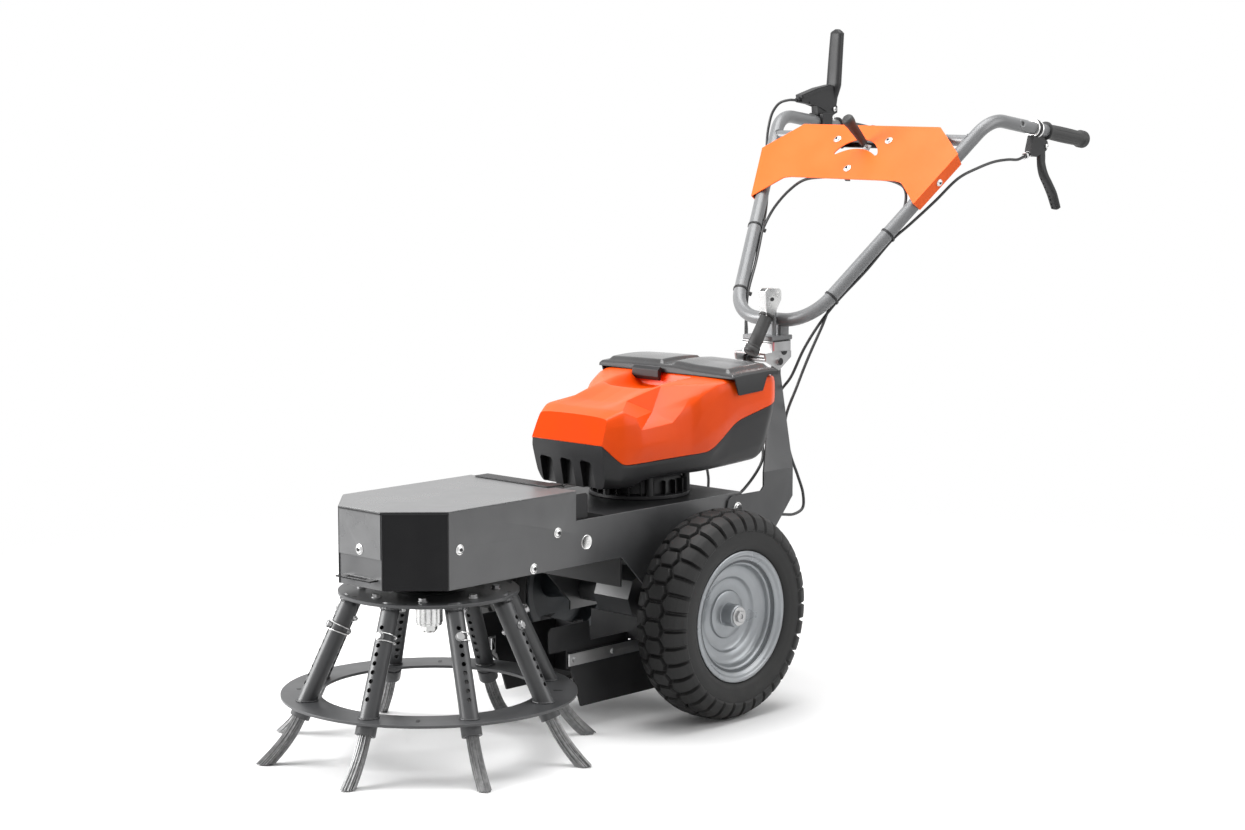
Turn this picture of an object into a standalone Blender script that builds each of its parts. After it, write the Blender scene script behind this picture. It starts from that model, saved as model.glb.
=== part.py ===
"""Walk-behind weed brush with a battery power unit.

A vertical motor on a folded steel beam drives a steel brush in front of two air-tyred wheels.
The machine drives towards -Y, its left side is +X and the ground is z = 0. Sizes are metres.
"""

import math

import bmesh
import bpy
from mathutils import Matrix, Vector

# General fits
GAP = 0.0003
RUN = 0.0004
SHEET = 0.004
THIN_SHEET = 0.002

# Wheels and axle
TYRE_RADIUS = 0.203
TYRE_WIDTH = 0.112
TREAD_DEPTH = 0.008
LUGS = 13
TRACK = 0.454
RIM_RADIUS = 0.1270
RIM_WIDTH = 0.0994
BEAD_RADIUS = 0.1040
DISH_RADIUS = 0.0690
DISH_DEPTH = 0.0400
HUB_FLANGE_RADIUS = 0.0460
HUB_RADIUS = 0.0220
AXLE_RADIUS = 0.0125
WHEEL_SEGMENTS = 20

# Beam
BEAM_HALF = 0.1402
BEAM_BOTTOM = 0.3272
BEAM_TOP = 0.4124
BEAM_REAR = 0.1576
ARM_TOP = 0.4693
ARM_REAR = -0.3157
ARM_FRONT = -0.7258
ARM_CHAMFER = 0.0852
FLAP_BOTTOM = 0.3830
AXLE_PLATE_FRONT = -0.1905
AXLE_PLATE_LOW = 0.1650

# Guard and skirts
SKIRT_X = 0.1000
SKIRT_TOP = 0.1520
SKIRT_BOTTOM = 0.0450
SKIRT_FRONT = -0.3000
SKIRT_REAR = -0.0500
GUARD_Y = -0.1300
GUARD_TOP = 0.2005
SKIRT_THICKNESS = 0.0050

# Brush
BRUSH_Y = -0.5587
DISC_RADIUS = 0.1659
DISC_TOP = 0.3019
DISC_THICKNESS = 0.0060
RING_OUTER = 0.2723
RING_INNER = 0.1991
RING_TOP = 0.1117
RING_THICKNESS = 0.0050
LEG_COUNT = 8
LEG_FIRST_ANGLE = 19.56
LEG_TILT = 25.3
LEG_TOP_RADIUS = 0.1450
LEG_TUBE_RADIUS = 0.01685
LEG_TUBE_WALL = 0.0037
LEG_LOW = 0.0820
TIP_RADIUS = 0.3125
BUNDLE_RADIUS = 0.0112
STRANDS = 37
STRAND_RADIUS = 0.0011
STRAND_STEPS = 2
HOLDER_LENGTH = 0.150
SPINDLE_RADIUS = 0.0125
SPINDLE_HUB_RADIUS = 0.0210
SPINDLE_HUB_LENGTH = 0.0330
SPINDLE_PULLEY_RADIUS = 0.0550

# Power unit
MOTOR_Y = 0.0100
MOTOR_SHAFT_RADIUS = 0.0125
MOTOR_PULLEY_RADIUS = 0.0380
BELT_Z = 0.3640
BELT_HEIGHT = 0.0090
BELT_THICKNESS = 0.0060
UNIT_BOTTOM = 0.4465
LID_FRONT = 0.0830
LID_REAR = 0.2200
LID_BOTTOM = 0.6450
LID_HALF = 0.1760
LID_CROWN = 0.6750
BAY_FLOOR = 0.5400
BAY_HALF = 0.1300
BAY_WALL = 0.0160
LATCH_X = -0.0400
LATCH_WIDTH = 0.0700
LATCH_AXIS_Z = 0.6510

# Column and clamp
COLUMN_BOLT_Y = 0.1396
COLUMN_BOLT_Z = 0.3822
COLUMN_FOLD_Z = 0.4450
COLUMN_REAR = 0.3118
PIVOT_Y = 0.3860
PIVOT_Z = 0.6460
PIVOT_RADIUS = 0.0050
EAR_X = 0.0375
EAR_BOTTOM = 0.6180
SWIVEL_Y = 0.3980
BLOCK_HALF_X = 0.0400
BLOCK_HALF_Y = 0.0300
BLOCK_BOTTOM = 0.6650
BLOCK_HEIGHT = 0.0225
CLAMP_PLATE = 0.0100
CLAMP_X = 0.0240
CLAMP_Y = 0.3925
CLAMP_RADIUS = 0.0050
LEVER_PIVOT_Z = 0.7830
SWIVEL_RANGE = 12.0

# Handlebar
TUBE_RADIUS = 0.0140
BOTTOM_Y = 0.4125
BOTTOM_Z = 0.7293
LEG_HALF_BOTTOM = 0.0998
TOP_HALF = 0.2831
TOP_Y = 0.7789
TOP_Z = 1.1403
GRIP_END_Y = 1.1255
GRIP_END_Z = 1.0902
BOTTOM_BEND = 0.0950
TOP_BEND = 0.0800
GRIP_LENGTH = 0.1500
GRIP_RADIUS = 0.0160
CROSS_TUBE_RADIUS = 0.0100
CROSS_TUBE_AT = 0.4270

# Console plate, measured up the leg plane from the U's lowest tie
PLATE_THICKNESS = 0.0025
PLATE_TOP = 0.4480
PLATE_SHOULDER = 0.3770
PLATE_FLARE = 0.2410
PLATE_WAIST = 0.3000
PLATE_TOP_HALF = 0.1830
PLATE_WAIST_HALF = 0.1570
SPEED_PIVOT_AT = PLATE_WAIST + 0.028
SLOT_RADIUS = 0.0780
SLOT_WIDTH = 0.0160
SPEED_REST = 80.0
STOP_AT = PLATE_WAIST + 0.009
CABLE_RADIUS = 0.0030


def colour_material(name, colour, roughness, metallic):
    """A Principled material with one colour, roughness and metallic value."""
    material = bpy.data.materials.new(name)
    material.use_nodes = True
    shader = material.node_tree.nodes["Principled BSDF"]
    shader.inputs["Base Color"].default_value = (*colour, 1.0)
    shader.inputs["Roughness"].default_value = roughness
    shader.inputs["Metallic"].default_value = metallic
    material.diffuse_color = (*colour, 1.0)
    return material


def clear_scene():
    """Remove every object of the open file."""
    for thing in list(bpy.data.objects):
        bpy.data.objects.remove(thing, do_unlink=True)


class Machine:
    """Keeps the empties that the bodies hang on and puts pieces on them."""

    def __init__(self):
        self.root = bpy.data.objects.new("machine", None)
        bpy.context.collection.objects.link(self.root)
        self.places = {"chassis": Vector((0.0, 0.0, 0.0))}
        self.empties = {"chassis": self.root}

    def body(self, name, place, parent="chassis"):
        """Add a moving body's empty, on its joint's axis."""
        empty = bpy.data.objects.new("axis_" + name, None)
        bpy.context.collection.objects.link(empty)
        empty.parent = self.empties[parent]
        empty.location = Vector(place) - self.places[parent]
        empty.empty_display_size = 0.03
        self.places[name] = Vector(place)
        self.empties[name] = empty

    def put(self, thing, body, material, smooth=None):
        """Hang a finished piece on a body, with its material and shading."""
        thing.data.materials.clear()
        thing.data.materials.append(material)
        thing.parent = self.empties[body]
        thing.location = thing.location - self.places[body]
        if smooth is not None and thing.type == "MESH":
            thing.data.shade_smooth()
            thing.data.set_sharp_from_angle(angle=math.radians(smooth))
        return thing


def linked(name, mesh):
    """Link an object that shows a mesh."""
    thing = bpy.data.objects.new(name, mesh)
    bpy.context.collection.objects.link(thing)
    return thing


def from_bmesh(name, bm):
    """Turn a bmesh into an object with outward normals."""
    bmesh.ops.remove_doubles(bm, verts=bm.verts, dist=1e-6)
    bmesh.ops.recalc_face_normals(bm, faces=bm.faces)
    mesh = bpy.data.meshes.new(name)
    bm.to_mesh(mesh)
    bm.free()
    return linked(name, mesh)


def prism(name, outline, low, high, across="Z", bevel=0.0):
    """Extrude a flat outline between two levels of one axis.

    across Z takes (x, y) points, across X takes (y, z) points and across Y takes (x, z) points.
    """
    order = {"Z": (0, 1, 2), "X": (1, 2, 0), "Y": (0, 2, 1)}[across]
    bm = bmesh.new()
    corners = []
    for first, second in outline:
        point = [0.0, 0.0, 0.0]
        point[order[0]] = first
        point[order[1]] = second
        point[order[2]] = low
        corners.append(bm.verts.new(point))
    face = bm.faces.new(corners)
    lift = [0.0, 0.0, 0.0]
    lift[order[2]] = high - low
    grown = bmesh.ops.extrude_face_region(bm, geom=[face])
    raised = [item for item in grown["geom"] if isinstance(item, bmesh.types.BMVert)]
    bmesh.ops.translate(bm, verts=raised, vec=lift)
    if bevel:
        rims = [edge for edge in bm.edges if edge.calc_length() > 2.2 * bevel]
        bmesh.ops.bevel(bm, geom=rims, offset=bevel, segments=1, affect="EDGES")
    return from_bmesh(name, bm)


def block(name, low, high, bevel=0.0):
    """A box between two corners, with its edges broken by a bevel."""
    outline = [(low[0], low[1]), (high[0], low[1]), (high[0], high[1]), (low[0], high[1])]
    return prism(name, outline, low[2], high[2], "Z", bevel)


def turned(name, profile, segments, closed=False):
    """Spin a profile of (height, radius) points about Z; a closed profile makes a ring.

    An open profile starts and ends on the axis with a flat cap.
    """
    bm = bmesh.new()
    line = [bm.verts.new((radius, 0.0, height)) for height, radius in profile]
    edges = [bm.edges.new(pair) for pair in zip(line, line[1:])]
    if closed:
        edges.append(bm.edges.new((line[-1], line[0])))
    bmesh.ops.spin(bm, geom=line + edges, cent=(0, 0, 0), axis=(0, 0, 1),
                   angle=2 * math.pi, steps=segments, use_merge=True)
    bmesh.ops.remove_doubles(bm, verts=bm.verts, dist=1e-6)
    poles = [vert for vert in bm.verts if math.hypot(vert.co.x, vert.co.y) < 1e-6]
    bmesh.ops.dissolve_verts(bm, verts=poles)
    return from_bmesh(name, bm)


def lofted(name, rings):
    """Skin a row of closed rings that have equal counts, and close both ends."""
    bm = bmesh.new()
    rows = [[bm.verts.new(point) for point in ring] for ring in rings]
    count = len(rows[0])
    for near, far in zip(rows, rows[1:]):
        for index in range(count):
            after = (index + 1) % count
            bm.faces.new((near[index], near[after], far[after], far[index]))
    bm.faces.new(rows[0])
    bm.faces.new(rows[-1])
    return from_bmesh(name, bm)


def moved(thing, matrix):
    """Apply a matrix to an object's mesh."""
    thing.data.transform(matrix)
    if matrix.determinant() < 0:
        thing.data.flip_normals()
    return thing


def onto(axis, place):
    """The matrix that stands a Z-axis shape along an axis at a place."""
    turn = Vector((0, 0, 1)).rotation_difference(Vector(axis).normalized())
    return Matrix.Translation(Vector(place)) @ turn.to_matrix().to_4x4()


def rod(name, start, end, radius, sides=12, flats=False):
    """A round bar between two points; flats makes its flats stand at the radius."""
    start = Vector(start)
    end = Vector(end)
    reach = radius / math.cos(math.pi / sides) if flats else radius
    profile = [(0.0, 0.0), (0.0, reach), ((end - start).length, reach), ((end - start).length, 0.0)]
    return moved(turned(name, profile, sides), onto(end - start, start))


def settled(thing):
    """Replace an object's mesh by its evaluated one and drop its modifiers."""
    graph = bpy.context.evaluated_depsgraph_get()
    graph.update()
    mesh = bpy.data.meshes.new_from_object(thing.evaluated_get(graph))
    thing.modifiers.clear()
    thing.data = mesh
    return thing


def combined(thing, others, operation):
    """Boolean a list of objects into one, exactly, and remove them."""
    for other in others:
        step = thing.modifiers.new("shape", "BOOLEAN")
        step.operation = operation
        step.solver = "EXACT"
        step.object = other
        settled(thing)
        bpy.data.objects.remove(other, do_unlink=True)
    return thing


def joined(thing, *others):
    return combined(thing, others, "UNION")


def bored(thing, *others):
    return combined(thing, others, "DIFFERENCE")


def copied(thing, name, matrix):
    """A moved copy of an object's mesh under another name."""
    return moved(linked(name, thing.data.copy()), matrix)


def mirrored(thing, name):
    """The same piece for the other side of the machine."""
    return copied(thing, name, Matrix.Scale(-1.0, 4, (1, 0, 0)))


def around(angle, centre):
    """Turn about a vertical line through a centre."""
    there = Matrix.Translation(Vector(centre))
    return there @ Matrix.Rotation(math.radians(angle), 4, "Z") @ there.inverted()


def filleted(points, radii, steps):
    """Round the inner corners of a path with arcs of the given radii."""
    path = [Vector(points[0])]
    for index in range(1, len(points) - 1):
        corner = Vector(points[index])
        before = (Vector(points[index - 1]) - corner).normalized()
        after = (Vector(points[index + 1]) - corner).normalized()
        half = before.angle(after) / 2
        radius = radii[index - 1]
        centre = corner + (before + after).normalized() * (radius / math.sin(half))
        start = corner + before * (radius / math.tan(half)) - centre
        sweep = math.pi - 2 * half
        axis = start.cross(corner + after * (radius / math.tan(half)) - centre)
        for step in range(steps + 1):
            path.append(centre + Matrix.Rotation(sweep * step / steps, 3, axis) @ start)
    path.append(Vector(points[-1]))
    return path


def pipe(name, path, radius, sides):
    """Sweep a round section along a path of points."""
    rings = []
    side = None
    for index, point in enumerate(path):
        before = path[max(index - 1, 0)]
        after = path[min(index + 1, len(path) - 1)]
        along = (after - before).normalized()
        if side is None:
            side = along.orthogonal().normalized()
        side = (side - along * side.dot(along)).normalized()
        other = along.cross(side)
        ring = []
        for step in range(sides):
            angle = 2 * math.pi * step / sides
            ring.append(point + (side * math.cos(angle) + other * math.sin(angle)) * radius)
        rings.append(ring)
    return lofted(name, rings)


def smooth_path(knots, steps):
    """Points along a smooth curve through hand-set knots, with equal steps between them."""
    knots = [Vector(knot) for knot in knots]
    padded = [2 * knots[0] - knots[1], *knots, 2 * knots[-1] - knots[-2]]
    points = [knots[0]]
    for span in range(len(knots) - 1):
        a, b, c, d = padded[span:span + 4]
        t1 = math.sqrt((b - a).length)
        t2 = t1 + math.sqrt((c - b).length)
        t3 = t2 + math.sqrt((d - c).length)
        for step in range(1, steps + 1):
            t = t1 + (t2 - t1) * step / steps
            ab = a.lerp(b, t / t1)
            bc = b.lerp(c, (t - t1) / (t2 - t1))
            cd = c.lerp(d, (t - t2) / (t3 - t2))
            abc = ab.lerp(bc, t / t2)
            bcd = bc.lerp(cd, (t - t1) / (t3 - t1))
            points.append(abc.lerp(bcd, (t - t1) / (t2 - t1)))
    return points


def cable(name, knots, radius, steps=2):
    """A sheathed control cable: a round curve along a smooth route, with closed ends."""
    curve = bpy.data.curves.new(name, "CURVE")
    curve.dimensions = "3D"
    curve.bevel_depth = radius
    curve.bevel_resolution = 1
    curve.use_fill_caps = True
    spline = curve.splines.new("POLY")
    points = smooth_path(knots, steps)
    spline.points.add(len(points) - 1)
    for place, point in zip(spline.points, points):
        place.co = (*point, 1.0)
    thing = bpy.data.objects.new(name, curve)
    bpy.context.collection.objects.link(thing)
    return thing


def button_bolt(name, place, axis, radius=0.006, height=0.0035, sides=8):
    """A low round bolt head that sinks into the piece that it is joined to."""
    profile = [(-0.0015, 0.0), (-0.0015, radius), (height, radius * 0.7), (height, 0.0)]
    return moved(turned(name, profile, sides), onto(axis, place))


# Beam and its panels

def side_plate(name):
    """The left plate: front arm, beam and axle bracket in one flat sheet."""
    top = ARM_TOP - THIN_SHEET - GAP
    front = ARM_FRONT + ARM_CHAMFER + GAP
    low_half = 0.045
    outline = [
        (front, BEAM_BOTTOM), (front, top), (ARM_REAR, top), (ARM_REAR, BEAM_TOP),
        (BEAM_REAR, BEAM_TOP), (BEAM_REAR, BEAM_BOTTOM + 0.012), (BEAM_REAR - 0.012, BEAM_BOTTOM),
        (low_half + BEAM_BOTTOM - AXLE_PLATE_LOW - 0.055, BEAM_BOTTOM),
        (low_half, AXLE_PLATE_LOW + 0.052), (low_half, AXLE_PLATE_LOW),
        (-low_half, AXLE_PLATE_LOW), (-low_half, AXLE_PLATE_LOW + 0.0173),
        (AXLE_PLATE_FRONT, BEAM_BOTTOM),
    ]
    plate = prism(name, outline, BEAM_HALF - SHEET, BEAM_HALF, "X")
    outside = BEAM_HALF + SHEET
    inside = BEAM_HALF - 2 * SHEET
    axle_hole = rod("hole", (inside, 0, TYRE_RADIUS), (outside, 0, TYRE_RADIUS),
                    AXLE_RADIUS + 2 * RUN, 12, True)
    sight_hole = rod("hole", (inside, ARM_REAR + 0.032, 0.3677),
                     (outside, ARM_REAR + 0.032, 0.3677), 0.012, 10)
    bored(plate, axle_hole, sight_hole)
    bolts = [(ARM_FRONT + 0.1141, 0.3954), (ARM_REAR - 0.0455, 0.3957), (ARM_REAR - 0.1059, 0.3385)]
    heads = [button_bolt("bolt", (BEAM_HALF, y, z), (1, 0, 0)) for y, z in bolts]
    return joined(plate, *heads)


def front_wall():
    """The folded front of the arm: two chamfers and a front set back behind the cover's flap."""
    face = ARM_FRONT + THIN_SHEET + 2 * GAP
    back = face + 0.003
    slope = 0.003 * math.sqrt(2)
    corner = ARM_FRONT + ARM_CHAMFER
    outer = [(BEAM_HALF, corner), (BEAM_HALF - (corner - face), face)]
    inner = [(BEAM_HALF - (corner - face) - slope + 0.003, back), (BEAM_HALF - slope, corner)]
    outline = [outer[0], outer[1], (-outer[1][0], face), (-BEAM_HALF, corner),
               (-inner[1][0], corner), (-inner[0][0], back), inner[0], inner[1]]
    wall = prism("front_wall", outline, BEAM_BOTTOM, ARM_TOP - THIN_SHEET - GAP, "Z")
    tongue = block("tongue", (-0.046, face - 0.020, 0.343), (0.046, face + 0.001, 0.346))
    slot = block("slot", (-0.026, face - 0.015, 0.34), (0.026, face - 0.004, 0.35))
    return joined(wall, bored(tongue, slot))


def top_cover():
    """The bolted lid of the arm, with a flap over the front."""
    front_half = BEAM_HALF - ARM_CHAMFER
    corner = ARM_FRONT + ARM_CHAMFER
    outline = [(BEAM_HALF, ARM_REAR), (BEAM_HALF, corner), (front_half, ARM_FRONT),
               (-front_half, ARM_FRONT), (-BEAM_HALF, corner), (-BEAM_HALF, ARM_REAR)]
    lid = prism("top_cover", outline, ARM_TOP - THIN_SHEET, ARM_TOP, "Z")
    flap = block("flap", (-front_half, ARM_FRONT, FLAP_BOTTOM),
                 (front_half, ARM_FRONT + THIN_SHEET, ARM_TOP - THIN_SHEET / 2))
    head = button_bolt("bolt", (0, ARM_FRONT, 0.396), (0, -1, 0))
    return joined(lid, flap, head)


def motor_deck():
    """The plate that carries the power unit, turned down at its front edge."""
    half = BEAM_HALF - SHEET - GAP
    deck = block("motor_deck", (-half, ARM_REAR + 0.085, BEAM_TOP - SHEET), (half, BEAM_REAR, BEAM_TOP))
    lip = block("lip", (-half, ARM_REAR + 0.085, BEAM_TOP - 0.030),
                (half, ARM_REAR + 0.085 + SHEET, BEAM_TOP - SHEET / 2))
    bore = rod("hole", (0, MOTOR_Y, BEAM_TOP - 0.02), (0, MOTOR_Y, BEAM_TOP + 0.02), 0.045, 20)
    return bored(joined(deck, lip), bore)


def cross_wall():
    """The wall between the side plates that stiffens the beam over the gearbox."""
    half = BEAM_HALF - SHEET - GAP
    top = BELT_Z - BELT_HEIGHT - 0.014
    wall = block("cross_wall", (-half, AXLE_PLATE_FRONT, 0.2690),
                 (half, AXLE_PLATE_FRONT + SHEET, top))
    shelf = block("shelf", (-half, AXLE_PLATE_FRONT + SHEET / 2, top - SHEET),
                  (half, AXLE_PLATE_FRONT + 0.05, top))
    return joined(wall, shelf)


def guard_frame():
    """The stone guard: a cross plate under the beam with an arm along each side."""
    half = BEAM_HALF - SHEET - GAP
    inner = SKIRT_X - SKIRT_THICKNESS / 2 - GAP
    step = SKIRT_TOP + 0.003
    tee = [(half, step), (half, GUARD_TOP), (-half, GUARD_TOP), (-half, step), (-inner, step),
           (-inner, SKIRT_BOTTOM + 0.02), (inner, SKIRT_BOTTOM + 0.02), (inner, step)]
    plate = prism("guard_frame", tee, GUARD_Y, GUARD_Y + SHEET, "Y")
    outline = [
        (SKIRT_FRONT - 0.044, SKIRT_TOP + 0.006), (SKIRT_FRONT - 0.044, SKIRT_TOP + 0.048),
        (SKIRT_FRONT - 0.038, SKIRT_TOP + 0.054), (SKIRT_FRONT + 0.064, SKIRT_TOP + 0.054),
        (SKIRT_FRONT + 0.068, SKIRT_TOP + 0.016), (GUARD_Y + SHEET / 2, SKIRT_TOP + 0.016),
        (GUARD_Y + SHEET / 2, SKIRT_TOP - 0.030), (SKIRT_FRONT + 0.004, SKIRT_TOP - 0.030),
        (SKIRT_FRONT + 0.004, SKIRT_TOP + 0.006),
    ]
    arm = prism("arm", outline, inner - 0.003, inner, "X")
    other = mirrored(arm, "arm")
    hanger_outline = [(GUARD_Y + SHEET / 2, SKIRT_TOP), (GUARD_Y + SHEET / 2, GUARD_TOP - 0.002),
                      (AXLE_PLATE_FRONT + 0.10, GUARD_TOP + 0.03), (-0.047, GUARD_TOP + 0.03),
                      (-0.047, GUARD_TOP - 0.02)]
    hanger = prism("hanger", hanger_outline, half - 0.003, half, "X")
    return joined(plate, arm, other, hanger, mirrored(hanger, "hanger"))


def skirt(name):
    """The left skirt: a stiff rubber panel, cut back at the front to clear the brush."""
    outline = [
        (SKIRT_FRONT, SKIRT_TOP), (SKIRT_FRONT + 0.038, SKIRT_BOTTOM), (SKIRT_REAR, SKIRT_BOTTOM),
        (SKIRT_REAR, SKIRT_TOP),
    ]
    panel = prism(name, outline, SKIRT_X - SKIRT_THICKNESS / 2, SKIRT_X + SKIRT_THICKNESS / 2, "X")
    return panel


def skirt_strip(name):
    """The plated strip that clamps the left skirt, with its three bolts."""
    low = SKIRT_X + SKIRT_THICKNESS / 2 + GAP
    strip = block(name, (low, SKIRT_FRONT + 0.002, SKIRT_TOP - 0.024),
                  (low + 0.003, SKIRT_REAR, SKIRT_TOP - 0.001))
    places = [SKIRT_FRONT + 0.014, SKIRT_FRONT + 0.120, SKIRT_REAR - 0.014]
    heads = [button_bolt("bolt", (low + 0.003, y, SKIRT_TOP - 0.0125), (1, 0, 0)) for y in places]
    return joined(strip, *heads)


def gearbox():
    """The axle gearbox with its two axle tubes, bored for the half shafts."""
    outline = []
    for step in range(10):
        angle = 2 * math.pi * step / 10
        outline.append((0.072 * math.cos(angle), TYRE_RADIUS + 0.012 + 0.058 * math.sin(angle)))
    case = prism("gearbox", outline, -0.046, 0.046, "X")
    reach = BEAM_HALF - SHEET - GAP
    tube = rod("tube", (-reach, 0, TYRE_RADIUS), (reach, 0, TYRE_RADIUS), 0.0240, 12)
    input_boss = rod("boss", (0, 0.0, TYRE_RADIUS + 0.057), (0, 0.0, BELT_Z - BELT_HEIGHT - 0.012), 0.020, 12)
    bore = rod("bore", (-reach - 0.01, 0, TYRE_RADIUS), (reach + 0.01, 0, TYRE_RADIUS),
               AXLE_RADIUS + RUN, 16, True)
    return bored(joined(case, tube, input_boss), bore)


# Wheels

def tyre(name):
    """The left tyre: a round-shouldered casing with four staggered rows of blocks."""
    middle = TRACK / 2
    base = TYRE_RADIUS - TREAD_DEPTH
    half = TYRE_WIDTH / 2
    columns = 2 * LUGS
    seat = BEAD_RADIUS / math.cos(math.pi / columns)
    crown = [(0.0, base), (0.020, base - 0.0010), (0.041, base - 0.0080), (half - 0.001, base - 0.0280),
             (half, base - 0.0500), (RIM_WIDTH / 2 - 0.0030, RIM_RADIUS + 0.0016),
             (RIM_WIDTH / 2 - 0.0105, seat)]
    profile = [(-x, r) for x, r in reversed(crown)] + crown[1:]
    bm = bmesh.new()
    rings = []
    for column in range(columns):
        angle = 2 * math.pi * column / columns - math.pi / columns
        rings.append([bm.verts.new((middle + x, r * math.sin(angle), TYRE_RADIUS - r * math.cos(angle)))
                      for x, r in profile])
    count = len(profile)
    raised = []
    for column in range(columns):
        near = rings[column]
        far = rings[(column + 1) % columns]
        for row in range(count):
            after = (row + 1) % count
            face = bm.faces.new((near[row], near[after], far[after], far[row]))
            from_middle = min(abs(row - count // 2), abs(row + 1 - count // 2)) if row < count - 1 else 9
            left_side = row >= count // 2
            shift = int(left_side) + (1 if from_middle == 2 else 0)
            if from_middle in (0, 2) and (column + shift) % 2 == 0:
                raised.append(face)
    for face in raised:
        top = bmesh.ops.extrude_discrete_faces(bm, faces=[face])["faces"][0]
        for vert in top.verts:
            arm = Vector((0.0, vert.co.y, vert.co.z - TYRE_RADIUS))
            vert.co += arm.normalized() * (TYRE_RADIUS / math.cos(math.pi / columns) - base)
        centre = top.calc_center_median()
        for vert in top.verts:
            vert.co = centre.lerp(vert.co, 0.88)
    return from_bmesh(name, bm)


def wheel_centre(thing):
    """Turn a shape spun about Z onto the left wheel's axle line."""
    return moved(thing, onto((1, 0, 0), (0, 0, TYRE_RADIUS)))


def rim(name):
    """The left rim with its hub and half shaft: flanges, well, dished disc, boss and nut."""
    outer = TRACK / 2 + RIM_WIDTH / 2
    inner = TRACK / 2 - RIM_WIDTH / 2
    dish = outer - DISH_DEPTH
    seat = BEAD_RADIUS - RUN
    profile = [
        (outer + 0.0015, 0.0), (outer + 0.0015, 0.0105), (outer - 0.0080, HUB_RADIUS),
        (dish + 0.004, HUB_RADIUS), (dish + 0.004, HUB_FLANGE_RADIUS), (dish, DISH_RADIUS),
        (dish + 0.014, seat - 0.0040), (outer - 0.0080, seat - 0.0035), (outer, RIM_RADIUS - 0.0080),
        (outer, RIM_RADIUS), (outer - 0.0030, RIM_RADIUS), (outer - 0.0100, seat), (inner + 0.0100, seat),
        (inner + 0.0030, RIM_RADIUS), (inner, RIM_RADIUS), (inner, RIM_RADIUS - 0.0080),
        (inner + 0.0080, seat - 0.0035), (dish + 0.0080, seat - 0.0035), (dish - 0.004, DISH_RADIUS),
        (dish - 0.004, HUB_RADIUS + 0.008), (inner - 0.004, HUB_RADIUS), (inner - 0.004, AXLE_RADIUS),
        (0.004, AXLE_RADIUS), (0.004, 0.0),
    ]
    wheel = wheel_centre(turned(name, profile, WHEEL_SEGMENTS))
    nut_outline = []
    for step in range(6):
        angle = math.pi / 3 * step
        nut_outline.append((0.0155 * math.cos(angle), TYRE_RADIUS + 0.0155 * math.sin(angle)))
    nut = prism("nut", nut_outline, outer - 0.0070, outer - 0.0010, "X")
    return joined(wheel, nut)


# Brush

def leg_place(height):
    """Distance of a leg's centre line from the brush axis, at a height."""
    return LEG_TOP_RADIUS + (DISC_TOP - DISC_THICKNESS - height) * math.tan(math.radians(LEG_TILT))


def leg_point(height):
    return Vector((leg_place(height), 0.0, height))


def brush_disc():
    """The upper disc, with a raised land round its hole and a bolt over each leg."""
    low = DISC_TOP - DISC_THICKNESS
    bore = SPINDLE_RADIUS + GAP
    profile = [(low, bore), (low, DISC_RADIUS), (DISC_TOP, DISC_RADIUS), (DISC_TOP, 0.0700),
               (DISC_TOP + 0.0010, 0.0680), (DISC_TOP + 0.0010, bore)]
    disc = turned("brush_disc", profile, 24, closed=True)
    heads = []
    for leg in range(LEG_COUNT):
        angle = math.radians(LEG_FIRST_ANGLE + 360 / LEG_COUNT * leg)
        reach = LEG_TOP_RADIUS + 0.003
        place = (reach * math.cos(angle), reach * math.sin(angle), DISC_TOP)
        heads.append(button_bolt("bolt", place, (0, 0, 1), 0.0085, 0.0075, 6))
    joined(disc, *heads)
    return moved(disc, Matrix.Translation((0, BRUSH_Y, 0)))


def brush_ring():
    """The lower ring, cut for the eight leaning tubes that pass through it."""
    low = RING_TOP - RING_THICKNESS
    profile = [(low, RING_INNER), (low, RING_OUTER), (RING_TOP, RING_OUTER), (RING_TOP, RING_INNER)]
    ring = turned("brush_ring", profile, 24, closed=True)
    for leg in range(LEG_COUNT):
        cutter = rod("cutter", leg_point(RING_TOP + 0.04), leg_point(low - 0.04),
                     LEG_TUBE_RADIUS + GAP, 8, True)
        moved(cutter, Matrix.Rotation(math.radians(LEG_FIRST_ANGLE + 360 / LEG_COUNT * leg), 4, "Z"))
        bored(ring, cutter)
    return moved(ring, Matrix.Translation((0, BRUSH_Y, 0)))


def leg_tube():
    """One leaning tube, cut level under the disc and square at its foot."""
    top = DISC_TOP - DISC_THICKNESS - GAP
    start = leg_point(top + 0.02)
    end = leg_point(LEG_LOW)
    inner = LEG_TUBE_RADIUS - LEG_TUBE_WALL
    length = (end - start).length
    profile = [(0.0, inner), (0.0, LEG_TUBE_RADIUS), (length, LEG_TUBE_RADIUS), (length, inner)]
    tube = moved(turned("leg", profile, 12, closed=True), onto(end - start, start))
    return bored(tube, block("above", (0.05, -0.05, top), (0.25, 0.05, top + 0.06)))


def bundle_path(share):
    """The middle line of a bristle bundle, from its tube's mouth out to the ground."""
    start = leg_point(LEG_LOW + 0.004)
    bend = leg_point(0.0400)
    tip = Vector((TIP_RADIUS, 0.0, 0.0))
    return start * (1 - share) ** 2 + bend * 2 * share * (1 - share) + tip * share ** 2


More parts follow.
